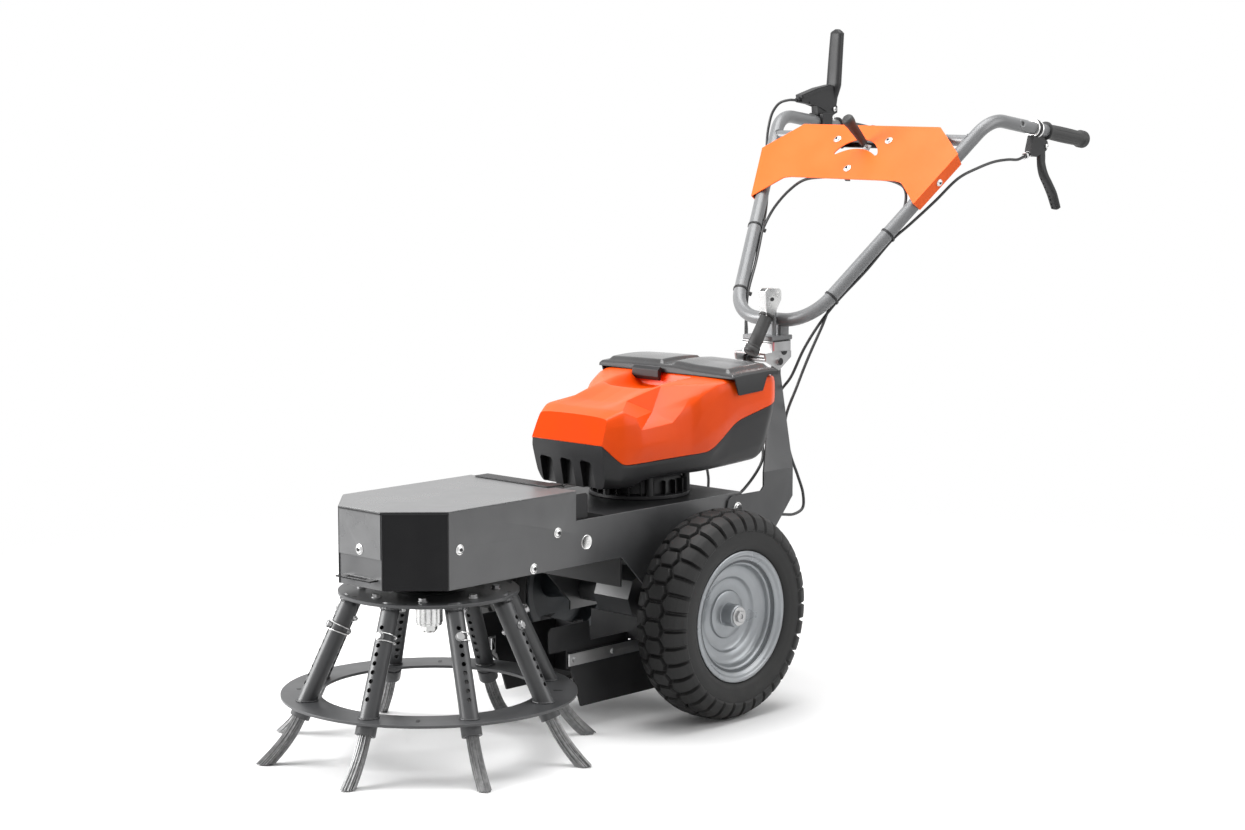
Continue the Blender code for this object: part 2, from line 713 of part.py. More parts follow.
def bristle_bundle():
    """A sliding holder with its wires: a sunflower spread of strands that bend to the ground."""
    axis = (leg_point(0.0) - leg_point(1.0)).normalized()
    mouth = leg_point(LEG_LOW + 0.004)
    radius = (LEG_TUBE_RADIUS - LEG_TUBE_WALL) * math.cos(math.pi / 12) - RUN
    holder = rod("bundle", mouth - axis * HOLDER_LENGTH, mouth, radius, 10)
    bm = bmesh.new()
    golden = math.pi * (3 - math.sqrt(5))
    side = Vector((0.0, 1.0, 0.0))
    for strand in range(STRANDS):
        spread = (BUNDLE_RADIUS - STRAND_RADIUS) * math.sqrt((strand + 0.5) / STRANDS)
        turn = golden * strand
        rings = []
        for step in range(STRAND_STEPS + 1):
            share = step / STRAND_STEPS
            here = bundle_path(share)
            along = (bundle_path(min(share + 0.02, 1.02)) - bundle_path(share - 0.02)).normalized()
            out = side.cross(along).normalized()
            place = here + (out * math.cos(turn) + side * math.sin(turn)) * spread
            if step == 0:
                place -= along * 0.002
            ring = []
            for corner in range(3):
                angle = 2 * math.pi * corner / 3 + turn
                point = place + (out * math.cos(angle) + side * math.sin(angle)) * STRAND_RADIUS
                if step == STRAND_STEPS:
                    point -= along * (point.z / along.z)
                ring.append(bm.verts.new(point))
            rings.append(ring)
        for near, far in zip(rings, rings[1:]):
            for corner in range(3):
                after = (corner + 1) % 3
                bm.faces.new((near[corner], near[after], far[after], far[corner]))
        bm.faces.new(rings[0])
        bm.faces.new(rings[-1])
    bmesh.ops.recalc_face_normals(bm, faces=bm.faces)
    mesh = bpy.data.meshes.new("strands")
    bm.to_mesh(mesh)
    bm.free()
    return joined(holder, linked("strands", mesh))


def brush_spindle():
    """The spindle: castle nut, hub below the disc, shaft and belt pulley in the arm."""
    low = DISC_TOP - DISC_THICKNESS - GAP
    hub_low = low - SPINDLE_HUB_LENGTH
    pulley_low = BELT_Z - BELT_HEIGHT / 2 - 0.005
    pulley_high = BELT_Z + BELT_HEIGHT / 2 + 0.005
    rim_radius = SPINDLE_PULLEY_RADIUS
    groove = rim_radius - BELT_THICKNESS
    profile = [
        (hub_low - 0.012, 0.0), (hub_low - 0.012, 0.0115), (hub_low, 0.0125), (hub_low, SPINDLE_HUB_RADIUS),
        (low, SPINDLE_HUB_RADIUS), (low, SPINDLE_RADIUS), (pulley_low, SPINDLE_RADIUS),
        (pulley_low, rim_radius), (BELT_Z - BELT_HEIGHT / 2, groove),
        (BELT_Z + BELT_HEIGHT / 2, groove), (pulley_high, rim_radius),
        (pulley_high, 0.024), (pulley_high + 0.008, 0.024), (pulley_high + 0.008, 0.0),
    ]
    spindle = turned("brush_spindle", profile, 16)
    return moved(spindle, Matrix.Translation((0, BRUSH_Y, 0)))


def spindle_housing():
    """The bearing carrier: a plate across the arm with a turned housing bored for the spindle."""
    half = BEAM_HALF - SHEET - GAP
    plate = block("spindle_housing", (-half, BRUSH_Y - 0.080, BEAM_BOTTOM + 0.001),
                  (half, BRUSH_Y + 0.080, BEAM_BOTTOM + 0.009))
    low = DISC_TOP + 0.0030
    high = BELT_Z - BELT_HEIGHT / 2 - 0.008
    profile = [(low, 0.0), (low, 0.058), (low + 0.010, 0.062), (BEAM_BOTTOM + 0.004, 0.062),
               (high - 0.004, 0.040), (high, 0.038), (high, 0.0)]
    boss = moved(turned("boss", profile, 16), Matrix.Translation((0, BRUSH_Y, 0)))
    bore = rod("bore", (0, BRUSH_Y, 0.25), (0, BRUSH_Y, 0.42), SPINDLE_RADIUS + RUN, 16, True)
    return bored(joined(plate, boss), bore)


# Belt drive

def motor_shaft():
    """The motor's output shaft with its belt pulley, under the deck."""
    pulley_low = BELT_Z - BELT_HEIGHT / 2 - 0.005
    pulley_high = BELT_Z + BELT_HEIGHT / 2 + 0.005
    rim_radius = MOTOR_PULLEY_RADIUS
    groove = rim_radius - BELT_THICKNESS
    profile = [
        (pulley_low - 0.006, 0.0), (pulley_low - 0.006, 0.010), (pulley_low, 0.012), (pulley_low, rim_radius),
        (BELT_Z - BELT_HEIGHT / 2, groove), (BELT_Z + BELT_HEIGHT / 2, groove), (pulley_high, rim_radius),
        (pulley_high, 0.020), (BEAM_TOP - 0.010, 0.020), (BEAM_TOP - 0.010, MOTOR_SHAFT_RADIUS),
        (UNIT_BOTTOM + 0.010, MOTOR_SHAFT_RADIUS), (UNIT_BOTTOM + 0.010, 0.0),
    ]
    shaft = turned("motor_shaft", profile, 16)
    return moved(shaft, Matrix.Translation((0, MOTOR_Y, 0)))


def belt_outline(spare):
    """The open belt's line round both pulleys, spare outside their grooves."""
    small = MOTOR_PULLEY_RADIUS - BELT_THICKNESS + spare
    large = SPINDLE_PULLEY_RADIUS - BELT_THICKNESS + spare
    span = MOTOR_Y - BRUSH_Y
    lean = math.asin((large - small) / span)
    outline = []
    steps = 10
    for step in range(steps + 1):
        angle = -lean + (math.pi + 2 * lean) * step / steps + math.pi
        outline.append((large * math.cos(angle), BRUSH_Y + large * math.sin(angle)))
    for step in range(steps + 1):
        angle = lean + (math.pi - 2 * lean) * step / steps
        outline.append((small * math.cos(angle), MOTOR_Y + small * math.sin(angle)))
    return outline


def drive_belt():
    """The drive belt: a flat loop in the pulleys' grooves."""
    low = BELT_Z - BELT_HEIGHT / 2 + 2 * GAP
    high = BELT_Z + BELT_HEIGHT / 2 - 2 * GAP
    slack = 0.0010
    outside = prism("drive_belt", belt_outline(BELT_THICKNESS - 0.001), low, high, "Z")
    inside = prism("inside", belt_outline(slack), low - 0.01, high + 0.01, "Z")
    return bored(outside, inside)


# Power unit

UNIT_STATIONS = [
    # y, half width, parting height, shoulder half width, shoulder height, ridge half width, ridge height, top
    (-0.196, 0.0930, 0.5360, 0.0915, 0.5600, 0.0880, 0.5850, 0.5880),
    (-0.165, 0.1140, 0.5030, 0.1080, 0.5620, 0.0960, 0.5900, 0.6000),
    (-0.080, 0.1290, 0.5030, 0.1240, 0.5640, 0.1040, 0.6050, 0.6110),
    (-0.020, 0.1390, 0.5040, 0.1360, 0.5750, 0.1180, 0.6120, 0.6170),
    (0.0250, 0.1470, 0.5050, 0.1500, 0.5950, 0.1450, 0.6360, 0.6400),
    (0.0830, 0.1570, 0.5220, 0.1640, 0.6050, 0.1670, 0.6400, 0.6430),
    (0.1350, 0.1660, 0.5620, 0.1720, 0.6100, 0.1700, 0.6420, 0.6445),
    (0.2050, 0.1780, 0.5850, 0.1780, 0.6150, 0.1710, 0.6420, 0.6445),
    (0.2320, 0.1600, 0.5880, 0.1600, 0.6150, 0.1560, 0.6380, 0.6400),
]


def bay_cutter():
    """The battery bay's space, open to the top."""
    return block("bay", (-BAY_HALF, LID_FRONT + BAY_WALL, BAY_FLOOR), (BAY_HALF, LID_REAR - BAY_WALL, 0.70))


def motor_cover():
    """The upper casing: a low bonnet that steps up to the battery bay, open for the packs."""
    rings = []
    for y, half, parting, mid, mid_z, ridge, ridge_z, top in UNIT_STATIONS:
        low = parting + GAP
        right = [(half, low), (mid, mid_z), (ridge, ridge_z), (ridge - 0.014, top)]
        left = [(-x, z) for x, z in reversed(right)]
        rings.append([Vector((x, y, z)) for x, z in right + left])
    cover = lofted("motor_cover", rings)
    recess = []
    for depth, x in ((0.0, 0.175), (1.0, 0.118)):
        low = 0.575 + 0.012 * depth
        recess.append([Vector((x, -0.140 + 0.02 * depth, 0.612)), Vector((x, -0.118 + 0.015 * depth, low)),
                       Vector((x, -0.020 - 0.02 * depth, low)), Vector((x, 0.004 - 0.02 * depth, 0.632))])
    pocket = lofted("pocket", recess)
    half = LATCH_WIDTH / 2 + 0.004
    catch = block("catch", (LATCH_X - half, LID_FRONT - 0.034, 0.6220), (LATCH_X + half, LID_FRONT, 0.70))
    return bored(cover, bay_cutter(), catch, mirrored(pocket, "pocket"), pocket)


def motor_base():
    """The lower casing, drawn in towards its foot, with the mounting flange and three feet."""
    rings = []
    bottoms = [0.062, 0.086, 0.094, 0.100, 0.104, 0.112, 0.122, 0.138, 0.124]
    for station, bottom_half in zip(UNIT_STATIONS, bottoms):
        y, half, parting = station[:3]
        low_y = -0.168 + (y + 0.196) * (0.205 + 0.168) / (0.232 + 0.196)
        low_z = UNIT_BOTTOM + max(0.0, y - 0.05) * 0.12
        middle = (half * 0.55 + bottom_half * 0.45, y * 0.75 + low_y * 0.25, low_z + 0.018)
        right = [(bottom_half, low_y, low_z), middle, (half, y, parting)]
        left = [(-x, point_y, z) for x, point_y, z in reversed(right)]
        rings.append([Vector(point) for point in right + left])
    base = lofted("motor_base", rings)
    profile = [(BEAM_TOP + GAP, 0.0), (BEAM_TOP + GAP, 0.100), (BEAM_TOP + 0.008, 0.100),
               (BEAM_TOP + 0.010, 0.085), (UNIT_BOTTOM + 0.004, 0.085), (UNIT_BOTTOM + 0.004, 0.0)]
    flange = moved(turned("flange", profile, 16), Matrix.Translation((0, MOTOR_Y, 0)))
    feet = []
    for angle in (35, 145, 270):
        turn = math.radians(angle)
        foot = (0.097 * math.cos(turn), MOTOR_Y + 0.097 * math.sin(turn))
        feet.append(rod("foot", (*foot, BEAM_TOP + GAP), (*foot, UNIT_BOTTOM + 0.002), 0.011, 6))
    bore = rod("bore", (0, MOTOR_Y, BEAM_TOP - 0.01), (0, MOTOR_Y, UNIT_BOTTOM + 0.012),
               MOTOR_SHAFT_RADIUS + RUN, 16, True)
    return bored(joined(base, flange, *feet), bore, bay_cutter())


def battery_pack():
    """Two battery packs side by side on a shared cradle in the bay."""
    low = BAY_FLOOR + GAP
    cradle = block("battery_pack", (-BAY_HALF + 0.004, LID_FRONT + BAY_WALL + 0.003, low),
                   (BAY_HALF - 0.004, LID_REAR - BAY_WALL - 0.003, low + 0.010))
    packs = []
    for side in (-1, 1):
        middle = side * BAY_HALF / 2
        packs.append(block("pack", (middle - 0.056, LID_FRONT + BAY_WALL + 0.006, low + 0.008),
                           (middle + 0.056, LID_REAR - BAY_WALL - 0.006, low + 0.088), 0.005))
    return joined(cradle, *packs)


def battery_lid():
    """The crowned lid over the bay, with a skirt that hangs down both sides."""
    rings = []
    for y, half, top in ((LID_FRONT, LID_HALF, 0.6520), (LID_FRONT + 0.012, LID_HALF, 0.6600),
                         ((LID_FRONT + LID_REAR) / 2, LID_HALF, 0.6680), (LID_REAR - 0.03, LID_HALF, 0.6700),
                         (LID_REAR, LID_HALF - 0.012, 0.6600)):
        crown = top + 0.0050
        right = [(half, LID_BOTTOM + GAP), (half, top - 0.005), (half - 0.010, top), (half * 0.45, crown)]
        left = [(-x, z) for x, z in reversed(right)]
        rings.append([Vector((x, y, z)) for x, z in right + left])
    return lofted("battery_lid", rings)


def lid_latch():
    """The spring latch on the lid's front edge."""
    front = LID_FRONT - GAP
    axis = LATCH_AXIS_Z
    outline = [(front, axis), (front - 0.0045, axis + 0.0045), (front - 0.0080, axis + 0.0045),
               (front - 0.0140, axis - 0.0010), (front - 0.0140, axis - 0.0150),
               (front - 0.0090, axis - 0.0220), (front - 0.0050, axis - 0.0220),
               (front - 0.0050, axis - 0.0070), (front, axis - 0.0050)]
    low = LATCH_X - LATCH_WIDTH / 2
    return prism("lid_latch", outline, low, low + LATCH_WIDTH, "X")


# Column and clamp

def column_cheek(name):
    """The left cheek: bolted beside the beam, folded inward, and upright again at the pivot."""
    foot_x = BEAM_HALF + GAP + SHEET
    window = COLUMN_REAR - 0.0913
    foot = [(COLUMN_BOLT_Y - 0.0306, 0.3850), (COLUMN_BOLT_Y - 0.0306, 0.3650),
            (COLUMN_BOLT_Y, 0.3350), (0.2350, 0.3060), (0.2620, 0.3320), (COLUMN_REAR, 0.3870),
            (COLUMN_REAR, COLUMN_FOLD_Z), (window, COLUMN_FOLD_Z), (window, 0.4160), (window - 0.008, 0.4080),
            (COLUMN_BOLT_Y - 0.0150, 0.4080), (COLUMN_BOLT_Y - 0.0270, 0.4000)]
    ear_front = PIVOT_Y - 0.0140
    ear_rear = PIVOT_Y + 0.0140
    bm = bmesh.new()

    def corner(x, y, z):
        return bm.verts.new((x, y, z))

    foot_verts = [corner(foot_x, y, z) for y, z in foot]
    rear_fold = foot_verts[6]
    front_fold = foot_verts[7]
    bm.faces.new(foot_verts)
    ear_low_rear = corner(EAR_X, ear_rear, EAR_BOTTOM)
    ear_low_front = corner(EAR_X, ear_front, EAR_BOTTOM)
    bm.faces.new((front_fold, rear_fold, ear_low_rear, ear_low_front))
    arc = []
    for step in range(7):
        angle = math.pi * step / 6
        arc.append(corner(EAR_X, PIVOT_Y + 0.0140 * math.cos(angle), PIVOT_Z + 0.0140 * math.sin(angle)))
    bm.faces.new([ear_low_front, ear_low_rear, *arc])
    bmesh.ops.recalc_face_normals(bm, faces=bm.faces)
    mesh = bpy.data.meshes.new(name)
    bm.to_mesh(mesh)
    bm.free()
    cheek = linked(name, mesh)
    outward = cheek.data.polygons[0].normal.x > 0
    wall = cheek.modifiers.new("wall", "SOLIDIFY")
    wall.thickness = SHEET
    wall.offset = -1.0 if outward else 1.0
    wall.use_even_offset = True
    settled(cheek)
    hole = rod("hole", (0, PIVOT_Y, PIVOT_Z), (0.08, PIVOT_Y, PIVOT_Z), PIVOT_RADIUS + RUN, 12, True)
    head = button_bolt("bolt", (foot_x, COLUMN_BOLT_Y, COLUMN_BOLT_Z), (1, 0, 0), 0.0100, 0.0080)
    return joined(bored(cheek, hole), head)


def arc_slot(name, centre, radius, width, first, last, low, high):
    """A cutter for a slot that follows an arc about a vertical axis."""
    outline = []
    steps = 6
    for step in range(steps + 1):
        angle = math.radians(first + (last - first) * step / steps)
        outline.append((centre[0] + (radius + width / 2) * math.cos(angle),
                        centre[1] + (radius + width / 2) * math.sin(angle)))
    for step in range(steps + 1):
        angle = math.radians(last + (first - last) * step / steps)
        outline.append((centre[0] + (radius - width / 2) * math.cos(angle),
                        centre[1] + (radius - width / 2) * math.sin(angle)))
    return prism(name, outline, low, high, "Z")


def clamp_bracket():
    """The pivoting bracket: two ears, the lower clamp block and the pivot bolt across them."""
    ear_in = EAR_X + GAP
    base_low = BLOCK_BOTTOM - SHEET
    base = block("clamp_bracket", (-ear_in - SHEET, SWIVEL_Y - 0.0540, base_low),
                 (ear_in + SHEET, SWIVEL_Y + BLOCK_HALF_Y, BLOCK_BOTTOM))
    ear_outline = [(SWIVEL_Y - 0.0540, BLOCK_BOTTOM - 0.001), (SWIVEL_Y - 0.0510, PIVOT_Z + 0.0020),
                   (PIVOT_Y + 0.0030, PIVOT_Z - 0.0195), (SWIVEL_Y + 0.0300, PIVOT_Z + 0.0060),
                   (SWIVEL_Y + 0.0300, BLOCK_BOTTOM - 0.001)]
    ear = prism("ear", ear_outline, ear_in, ear_in + SHEET, "X")
    top = block("top", (-BLOCK_HALF_X, SWIVEL_Y - BLOCK_HALF_Y, BLOCK_BOTTOM - 0.001),
                (BLOCK_HALF_X, SWIVEL_Y + BLOCK_HALF_Y, BLOCK_BOTTOM + BLOCK_HEIGHT))
    reach = math.hypot(CLAMP_X, SWIVEL_Y - CLAMP_Y)
    rest = -math.degrees(math.atan2(SWIVEL_Y - CLAMP_Y, CLAMP_X))
    spare = SWIVEL_RANGE + math.degrees((CLAMP_RADIUS + RUN) / reach) + 1.0
    slot = arc_slot("slot", (0, SWIVEL_Y), reach, 2 * (CLAMP_RADIUS + 2 * RUN), rest - spare, rest + spare,
                    base_low - 0.01, BLOCK_BOTTOM + BLOCK_HEIGHT + 0.01)
    bolt_reach = ear_in + SHEET + 0.006
    bolt = rod("bolt", (-bolt_reach, PIVOT_Y, PIVOT_Z), (bolt_reach, PIVOT_Y, PIVOT_Z), PIVOT_RADIUS, 12)
    heads = [rod("head", (side * (ear_in + SHEET - 0.0005), PIVOT_Y, PIVOT_Z),
                 (side * bolt_reach, PIVOT_Y, PIVOT_Z), 0.0085, 6) for side in (-1, 1)]
    return joined(bored(joined(base, ear, mirrored(ear, "ear"), top), slot), bolt, *heads)


def clamp_plate():
    """The upper clamp plate with the handlebar's saddle and the upright clamp bolt."""
    low = BLOCK_BOTTOM + BLOCK_HEIGHT + GAP
    plate = block("clamp_plate", (-BLOCK_HALF_X, SWIVEL_Y - BLOCK_HALF_Y, low),
                  (BLOCK_HALF_X, SWIVEL_Y + BLOCK_HALF_Y + 0.006, low + CLAMP_PLATE), 0.0015)
    saddle = block("saddle", (-0.028, BOTTOM_Y - 0.010, low + CLAMP_PLATE / 2),
                   (0.034, BOTTOM_Y + 0.016, BOTTOM_Z - 0.004))
    tube = rod("tube", (-0.08, BOTTOM_Y, BOTTOM_Z), (0.08, BOTTOM_Y, BOTTOM_Z), TUBE_RADIUS + GAP, 12, True)
    bored(saddle, tube)
    head_low = BLOCK_BOTTOM - SHEET - 0.0055
    bolt = rod("bolt", (CLAMP_X, CLAMP_Y, head_low), (CLAMP_X, CLAMP_Y, LEVER_PIVOT_Z), CLAMP_RADIUS, 8)
    head = rod("head", (CLAMP_X, CLAMP_Y, head_low), (CLAMP_X, CLAMP_Y, head_low + 0.005), 0.0062, 8)
    eye = rod("eye", (CLAMP_X - 0.0055, CLAMP_Y, LEVER_PIVOT_Z), (CLAMP_X + 0.0055, CLAMP_Y, LEVER_PIVOT_Z),
              0.0075, 8)
    pin = rod("pin", (CLAMP_X - 0.0115, CLAMP_Y, LEVER_PIVOT_Z), (CLAMP_X + 0.0115, CLAMP_Y, LEVER_PIVOT_Z),
              0.0030, 8)
    return joined(plate, saddle, bolt, head, eye, pin)


def clamp_lever():
    """The locking lever: a folded channel on the clamp bolt's pin with a rubber grip below it."""
    top_y = 0.3715
    top_z = 0.7424
    end_y = 0.3191
    end_z = 0.6679
    cheek_outline = [(top_y - 0.014, top_z - 0.002), (top_y + 0.011, top_z - 0.002),
                     (CLAMP_Y + 0.012, 0.772), (CLAMP_Y + 0.012, 0.786), (CLAMP_Y + 0.002, 0.795),
                     (CLAMP_Y - 0.034, 0.797), (CLAMP_Y - 0.040, 0.792)]
    low = CLAMP_X + 0.0070
    cheek = prism("clamp_lever", cheek_outline, low, low + 0.0025, "X")
    far_cheek = copied(cheek, "cheek", Matrix.Translation((-2 * 0.0070 - 0.0025, 0, 0)))
    hole = rod("hole", (CLAMP_X - 0.02, CLAMP_Y, LEVER_PIVOT_Z), (CLAMP_X + 0.02, CLAMP_Y, LEVER_PIVOT_Z),
               0.0030 + RUN, 8, True)
    web_outline = [(top_y - 0.014, top_z - 0.002), (top_y - 0.0115, top_z - 0.002),
                   (CLAMP_Y - 0.0375, 0.792), (CLAMP_Y - 0.040, 0.792)]
    web = prism("web", web_outline, CLAMP_X - 0.0090, CLAMP_X + 0.0090, "X")
    along = Vector((0, end_y - top_y, end_z - top_z)).normalized()
    length = math.hypot(end_y - top_y, end_z - top_z)
    profile = [(-0.0060, 0.0), (-0.0060, 0.0130), (-0.0020, 0.0130), (-0.0020, 0.0105),
               (length - 0.006, 0.0115), (length - 0.005, 0.0128), (length, 0.0128), (length + 0.002, 0.009),
               (length + 0.002, 0.0)]
    grip = moved(turned("grip", profile, 10), onto(along, (CLAMP_X, top_y, top_z)))
    return joined(bored(joined(cheek, far_cheek, web), hole), grip)


# Handlebar

UP = Vector((0.0, TOP_Y - BOTTOM_Y, TOP_Z - BOTTOM_Z)).normalized()
FACE = Vector((0.0, -UP.z, UP.y))
TIE_Y = BOTTOM_Y + 0.0418
TIE_Z = BOTTOM_Z + (TIE_Y - BOTTOM_Y) * UP.z / UP.y


def leg_half(at):
    """Half the distance between the legs' centre lines, at a length up the leg plane."""
    bottom = (BOTTOM_Y - TIE_Y) / UP.y
    top = (TOP_Y - TIE_Y) / UP.y
    return LEG_HALF_BOTTOM + (TOP_HALF - LEG_HALF_BOTTOM) * (at - bottom) / (top - bottom)


def plane_point(x, at, off=0.0):
    """A point on the legs' plane, a length up it and a distance off its front."""
    return Vector((x, TIE_Y, TIE_Z)) + UP * at + FACE * off


def handlebar_path():
    """The left half's centre line, from the middle of the U to the tube's end."""
    corner_bottom = Vector((LEG_HALF_BOTTOM, BOTTOM_Y, BOTTOM_Z))
    corner_top = Vector((TOP_HALF, TOP_Y, TOP_Z))
    end = grip_point(GRIP_END_Y - 0.008)
    return filleted([Vector((0, BOTTOM_Y, BOTTOM_Z)), corner_bottom, corner_top, end],
                    [BOTTOM_BEND, TOP_BEND], 4)


def handlebar_frame():
    """The bent tube from grip to grip, with the cross tube welded between its legs."""
    left = handlebar_path()
    right = [Vector((-point.x, point.y, point.z)) for point in reversed(left[1:])]
    tube = pipe("handlebar_frame", right + left, TUBE_RADIUS, 10)
    half = leg_half(CROSS_TUBE_AT)
    cross = rod("cross", plane_point(-half, CROSS_TUBE_AT), plane_point(half, CROSS_TUBE_AT),
                CROSS_TUBE_RADIUS, 8)
    return joined(tube, cross)


def grip_point(y):
    """A point on the left grip's centre line, at a distance back."""
    share = (y - TOP_Y) / (GRIP_END_Y - TOP_Y)
    return Vector((TOP_HALF, y, TOP_Z + (GRIP_END_Z - TOP_Z) * share))


def grip(name):
    """The left rubber grip: a waisted sleeve with a flange at each end."""
    start = grip_point(GRIP_END_Y - GRIP_LENGTH)
    end = grip_point(GRIP_END_Y)
    length = (end - start).length
    hole = (TUBE_RADIUS + GAP) / math.cos(math.pi / 12)
    profile = [(length - 0.004, 0.0), (length - 0.004, hole), (0.0, hole), (0.0, 0.0200), (0.0035, 0.0200),
               (0.0045, GRIP_RADIUS), (length - 0.012, GRIP_RADIUS), (length - 0.010, 0.0190),
               (length - 0.002, 0.0190), (length, 0.0150), (length, 0.0)]
    return moved(turned(name, profile, 12), onto(end - start, start))


def console_plate():
    """The folded plate across the legs, with its arc slot and two side flanges."""
    off = TUBE_RADIUS + GAP * 2
    edge = TUBE_RADIUS / math.cos(math.atan2(TOP_HALF - LEG_HALF_BOTTOM,
                                             (TOP_Y - BOTTOM_Y) / UP.y)) + 2 * GAP
    shoulder = leg_half(PLATE_SHOULDER) + edge + THIN_SHEET
    flare = leg_half(PLATE_FLARE) + edge + THIN_SHEET
    half_outline = [(PLATE_TOP_HALF, PLATE_TOP), (shoulder, PLATE_SHOULDER), (flare, PLATE_FLARE),
                    (PLATE_WAIST_HALF + 0.016, PLATE_WAIST - 0.017), (PLATE_WAIST_HALF, PLATE_WAIST - 0.003),
                    (PLATE_WAIST_HALF - 0.018, PLATE_WAIST)]
    outline = half_outline + [(-x, at) for x, at in reversed(half_outline)]
    slot_cutter = []
    for first, last, radius in ((32, 146, SLOT_RADIUS + SLOT_WIDTH / 2), (146, 32, SLOT_RADIUS - SLOT_WIDTH / 2)):
        for step in range(8):
            angle = math.radians(first + (last - first) * step / 7)
            slot_cutter.append((radius * math.cos(angle), SPEED_PIVOT_AT + radius * math.sin(angle)))
    flat = prism("console_plate", outline, off, off + PLATE_THICKNESS, "Z")
    bored(flat, prism("slot", slot_cutter, off - 0.01, off + 0.02, "Z"))
    flanges = []
    for side in (-1, 1):
        strip = [(side * shoulder, PLATE_SHOULDER), (side * flare, PLATE_FLARE),
                 (side * (flare - THIN_SHEET), PLATE_FLARE), (side * (shoulder - THIN_SHEET), PLATE_SHOULDER)]
        flanges.append(prism("flange", strip, off - 0.024, off + PLATE_THICKNESS / 2, "Z"))
    heads = [button_bolt("bolt", (x, at, off + PLATE_THICKNESS), (0, 0, 1), 0.0075, 0.0035)
             for x, at in ((-0.069, SPEED_PIVOT_AT + 0.079), (0.069, SPEED_PIVOT_AT + 0.079),
                           (0.0, SPEED_PIVOT_AT))]
    stop = block("stop", (-0.006, STOP_AT, off - 0.0170), (0.006, STOP_AT + 0.003, off + 0.001))
    joined(flat, *flanges, stop, *heads)
    return moved(flat, plane_matrix())


def plane_matrix():
    """Stand a drawing of (x, up, off) on the legs' plane."""
    origin = Vector((0, TIE_Y, TIE_Z))
    return Matrix(((1, 0, 0, origin.x), (0, UP.y, FACE.y, origin.y), (0, UP.z, FACE.z, origin.z), (0, 0, 0, 1)))


def speed_lever():
    """The speed lever: an arm on a pivot behind the plate, and a grip out through the slot."""
    off = TUBE_RADIUS + GAP * 2
    turn = math.radians(SPEED_REST)
    knob = (SLOT_RADIUS * math.cos(turn), SPEED_PIVOT_AT + SLOT_RADIUS * math.sin(turn))
    boss = rod("speed_lever", (0, SPEED_PIVOT_AT, off - 0.0120), (0, SPEED_PIVOT_AT, off - GAP), 0.0110, 12)
    arm_outline = []
    for share, width in ((0.0, 0.009), (1.08, 0.007)):
        centre = (knob[0] * share, SPEED_PIVOT_AT + (knob[1] - SPEED_PIVOT_AT) * share)
        arm_outline.append((centre[0] - width * math.sin(turn), centre[1] + width * math.cos(turn)))
        arm_outline.append((centre[0] + width * math.sin(turn), centre[1] - width * math.cos(turn)))
    arm_outline = [arm_outline[0], arm_outline[2], arm_outline[3], arm_outline[1]]
    arm = prism("arm", arm_outline, off - 0.0100, off - 0.0060, "Z")
    shank = rod("shank", (*knob, off - 0.0090), (*knob, off + 0.012), 0.0050, 8)
    profile = [(0.0, 0.0), (0.0, 0.0075), (0.004, 0.0090), (0.070, 0.0095), (0.077, 0.0065), (0.077, 0.0)]
    handle = moved(turned("handle", profile, 12), Matrix.Translation((*knob, off + 0.008)))
    joined(boss, arm, shank, handle)
    return moved(boss, plane_matrix())


CLAMP_BAND_Y = 0.9400
BRAKE_PIVOT = (0.9727, 1.0794)
DEADMAN_PIVOT = (0.9580, 1.1500)


def band(name, y, width, side):
    """A clamp band round the handlebar tube, still solid."""
    middle = grip_point(y)
    along = (grip_point(GRIP_END_Y) - grip_point(TOP_Y)).normalized()
    start = middle - along * width / 2
    ring = rod(name, start, start + along * width, TUBE_RADIUS + 0.0045, 10)
    return ring if side > 0 else moved(ring, Matrix.Scale(-1.0, 4, (1, 0, 0)))


def cut_for_tube(thing, y, side):
    """Cut a bracket clear of the handlebar tube that it is clamped round."""
    along = (grip_point(GRIP_END_Y) - grip_point(TOP_Y)).normalized()
    middle = grip_point(y)
    cutter = rod("cutter", middle - along * 0.08, middle + along * 0.08, TUBE_RADIUS + GAP, 10, True)
    if side < 0:
        moved(cutter, Matrix.Scale(-1.0, 4, (1, 0, 0)))
    return bored(thing, cutter)


def brake_bracket():
    """The brake lever's bracket, hung under the left grip, with its cable stop."""
    y, z = BRAKE_PIVOT
    ring = band("brake_bracket", CLAMP_BAND_Y, 0.016, 1)
    outline = [(CLAMP_BAND_Y - 0.014, 1.1040), (CLAMP_BAND_Y + 0.014, 1.1000), (y + 0.004, z + 0.011),
               (y + 0.009, z), (y, z - 0.010), (y - 0.035, z - 0.022), (y - 0.058, z - 0.018),
               (y - 0.056, z - 0.004)]
    body = prism("body", outline, TOP_HALF - 0.0080, TOP_HALF + 0.0080, "X")
    stop = rod("stop", (TOP_HALF, y - 0.050, z - 0.014), (TOP_HALF, y - 0.072, z - 0.021), 0.0058, 8)
    fork = prism("fork", [(y - 0.0160, z - 0.0200), (y - 0.0160, z + 0.0140), (y + 0.02, z + 0.0140),
                          (y + 0.02, z - 0.0200)], TOP_HALF - 0.0042, TOP_HALF + 0.0042, "X")
    pin = rod("pin", (TOP_HALF - 0.0095, y, z), (TOP_HALF + 0.0095, y, z), 0.0030, 8)
    return joined(cut_for_tube(bored(joined(ring, body, stop), fork), CLAMP_BAND_Y, 1), pin)


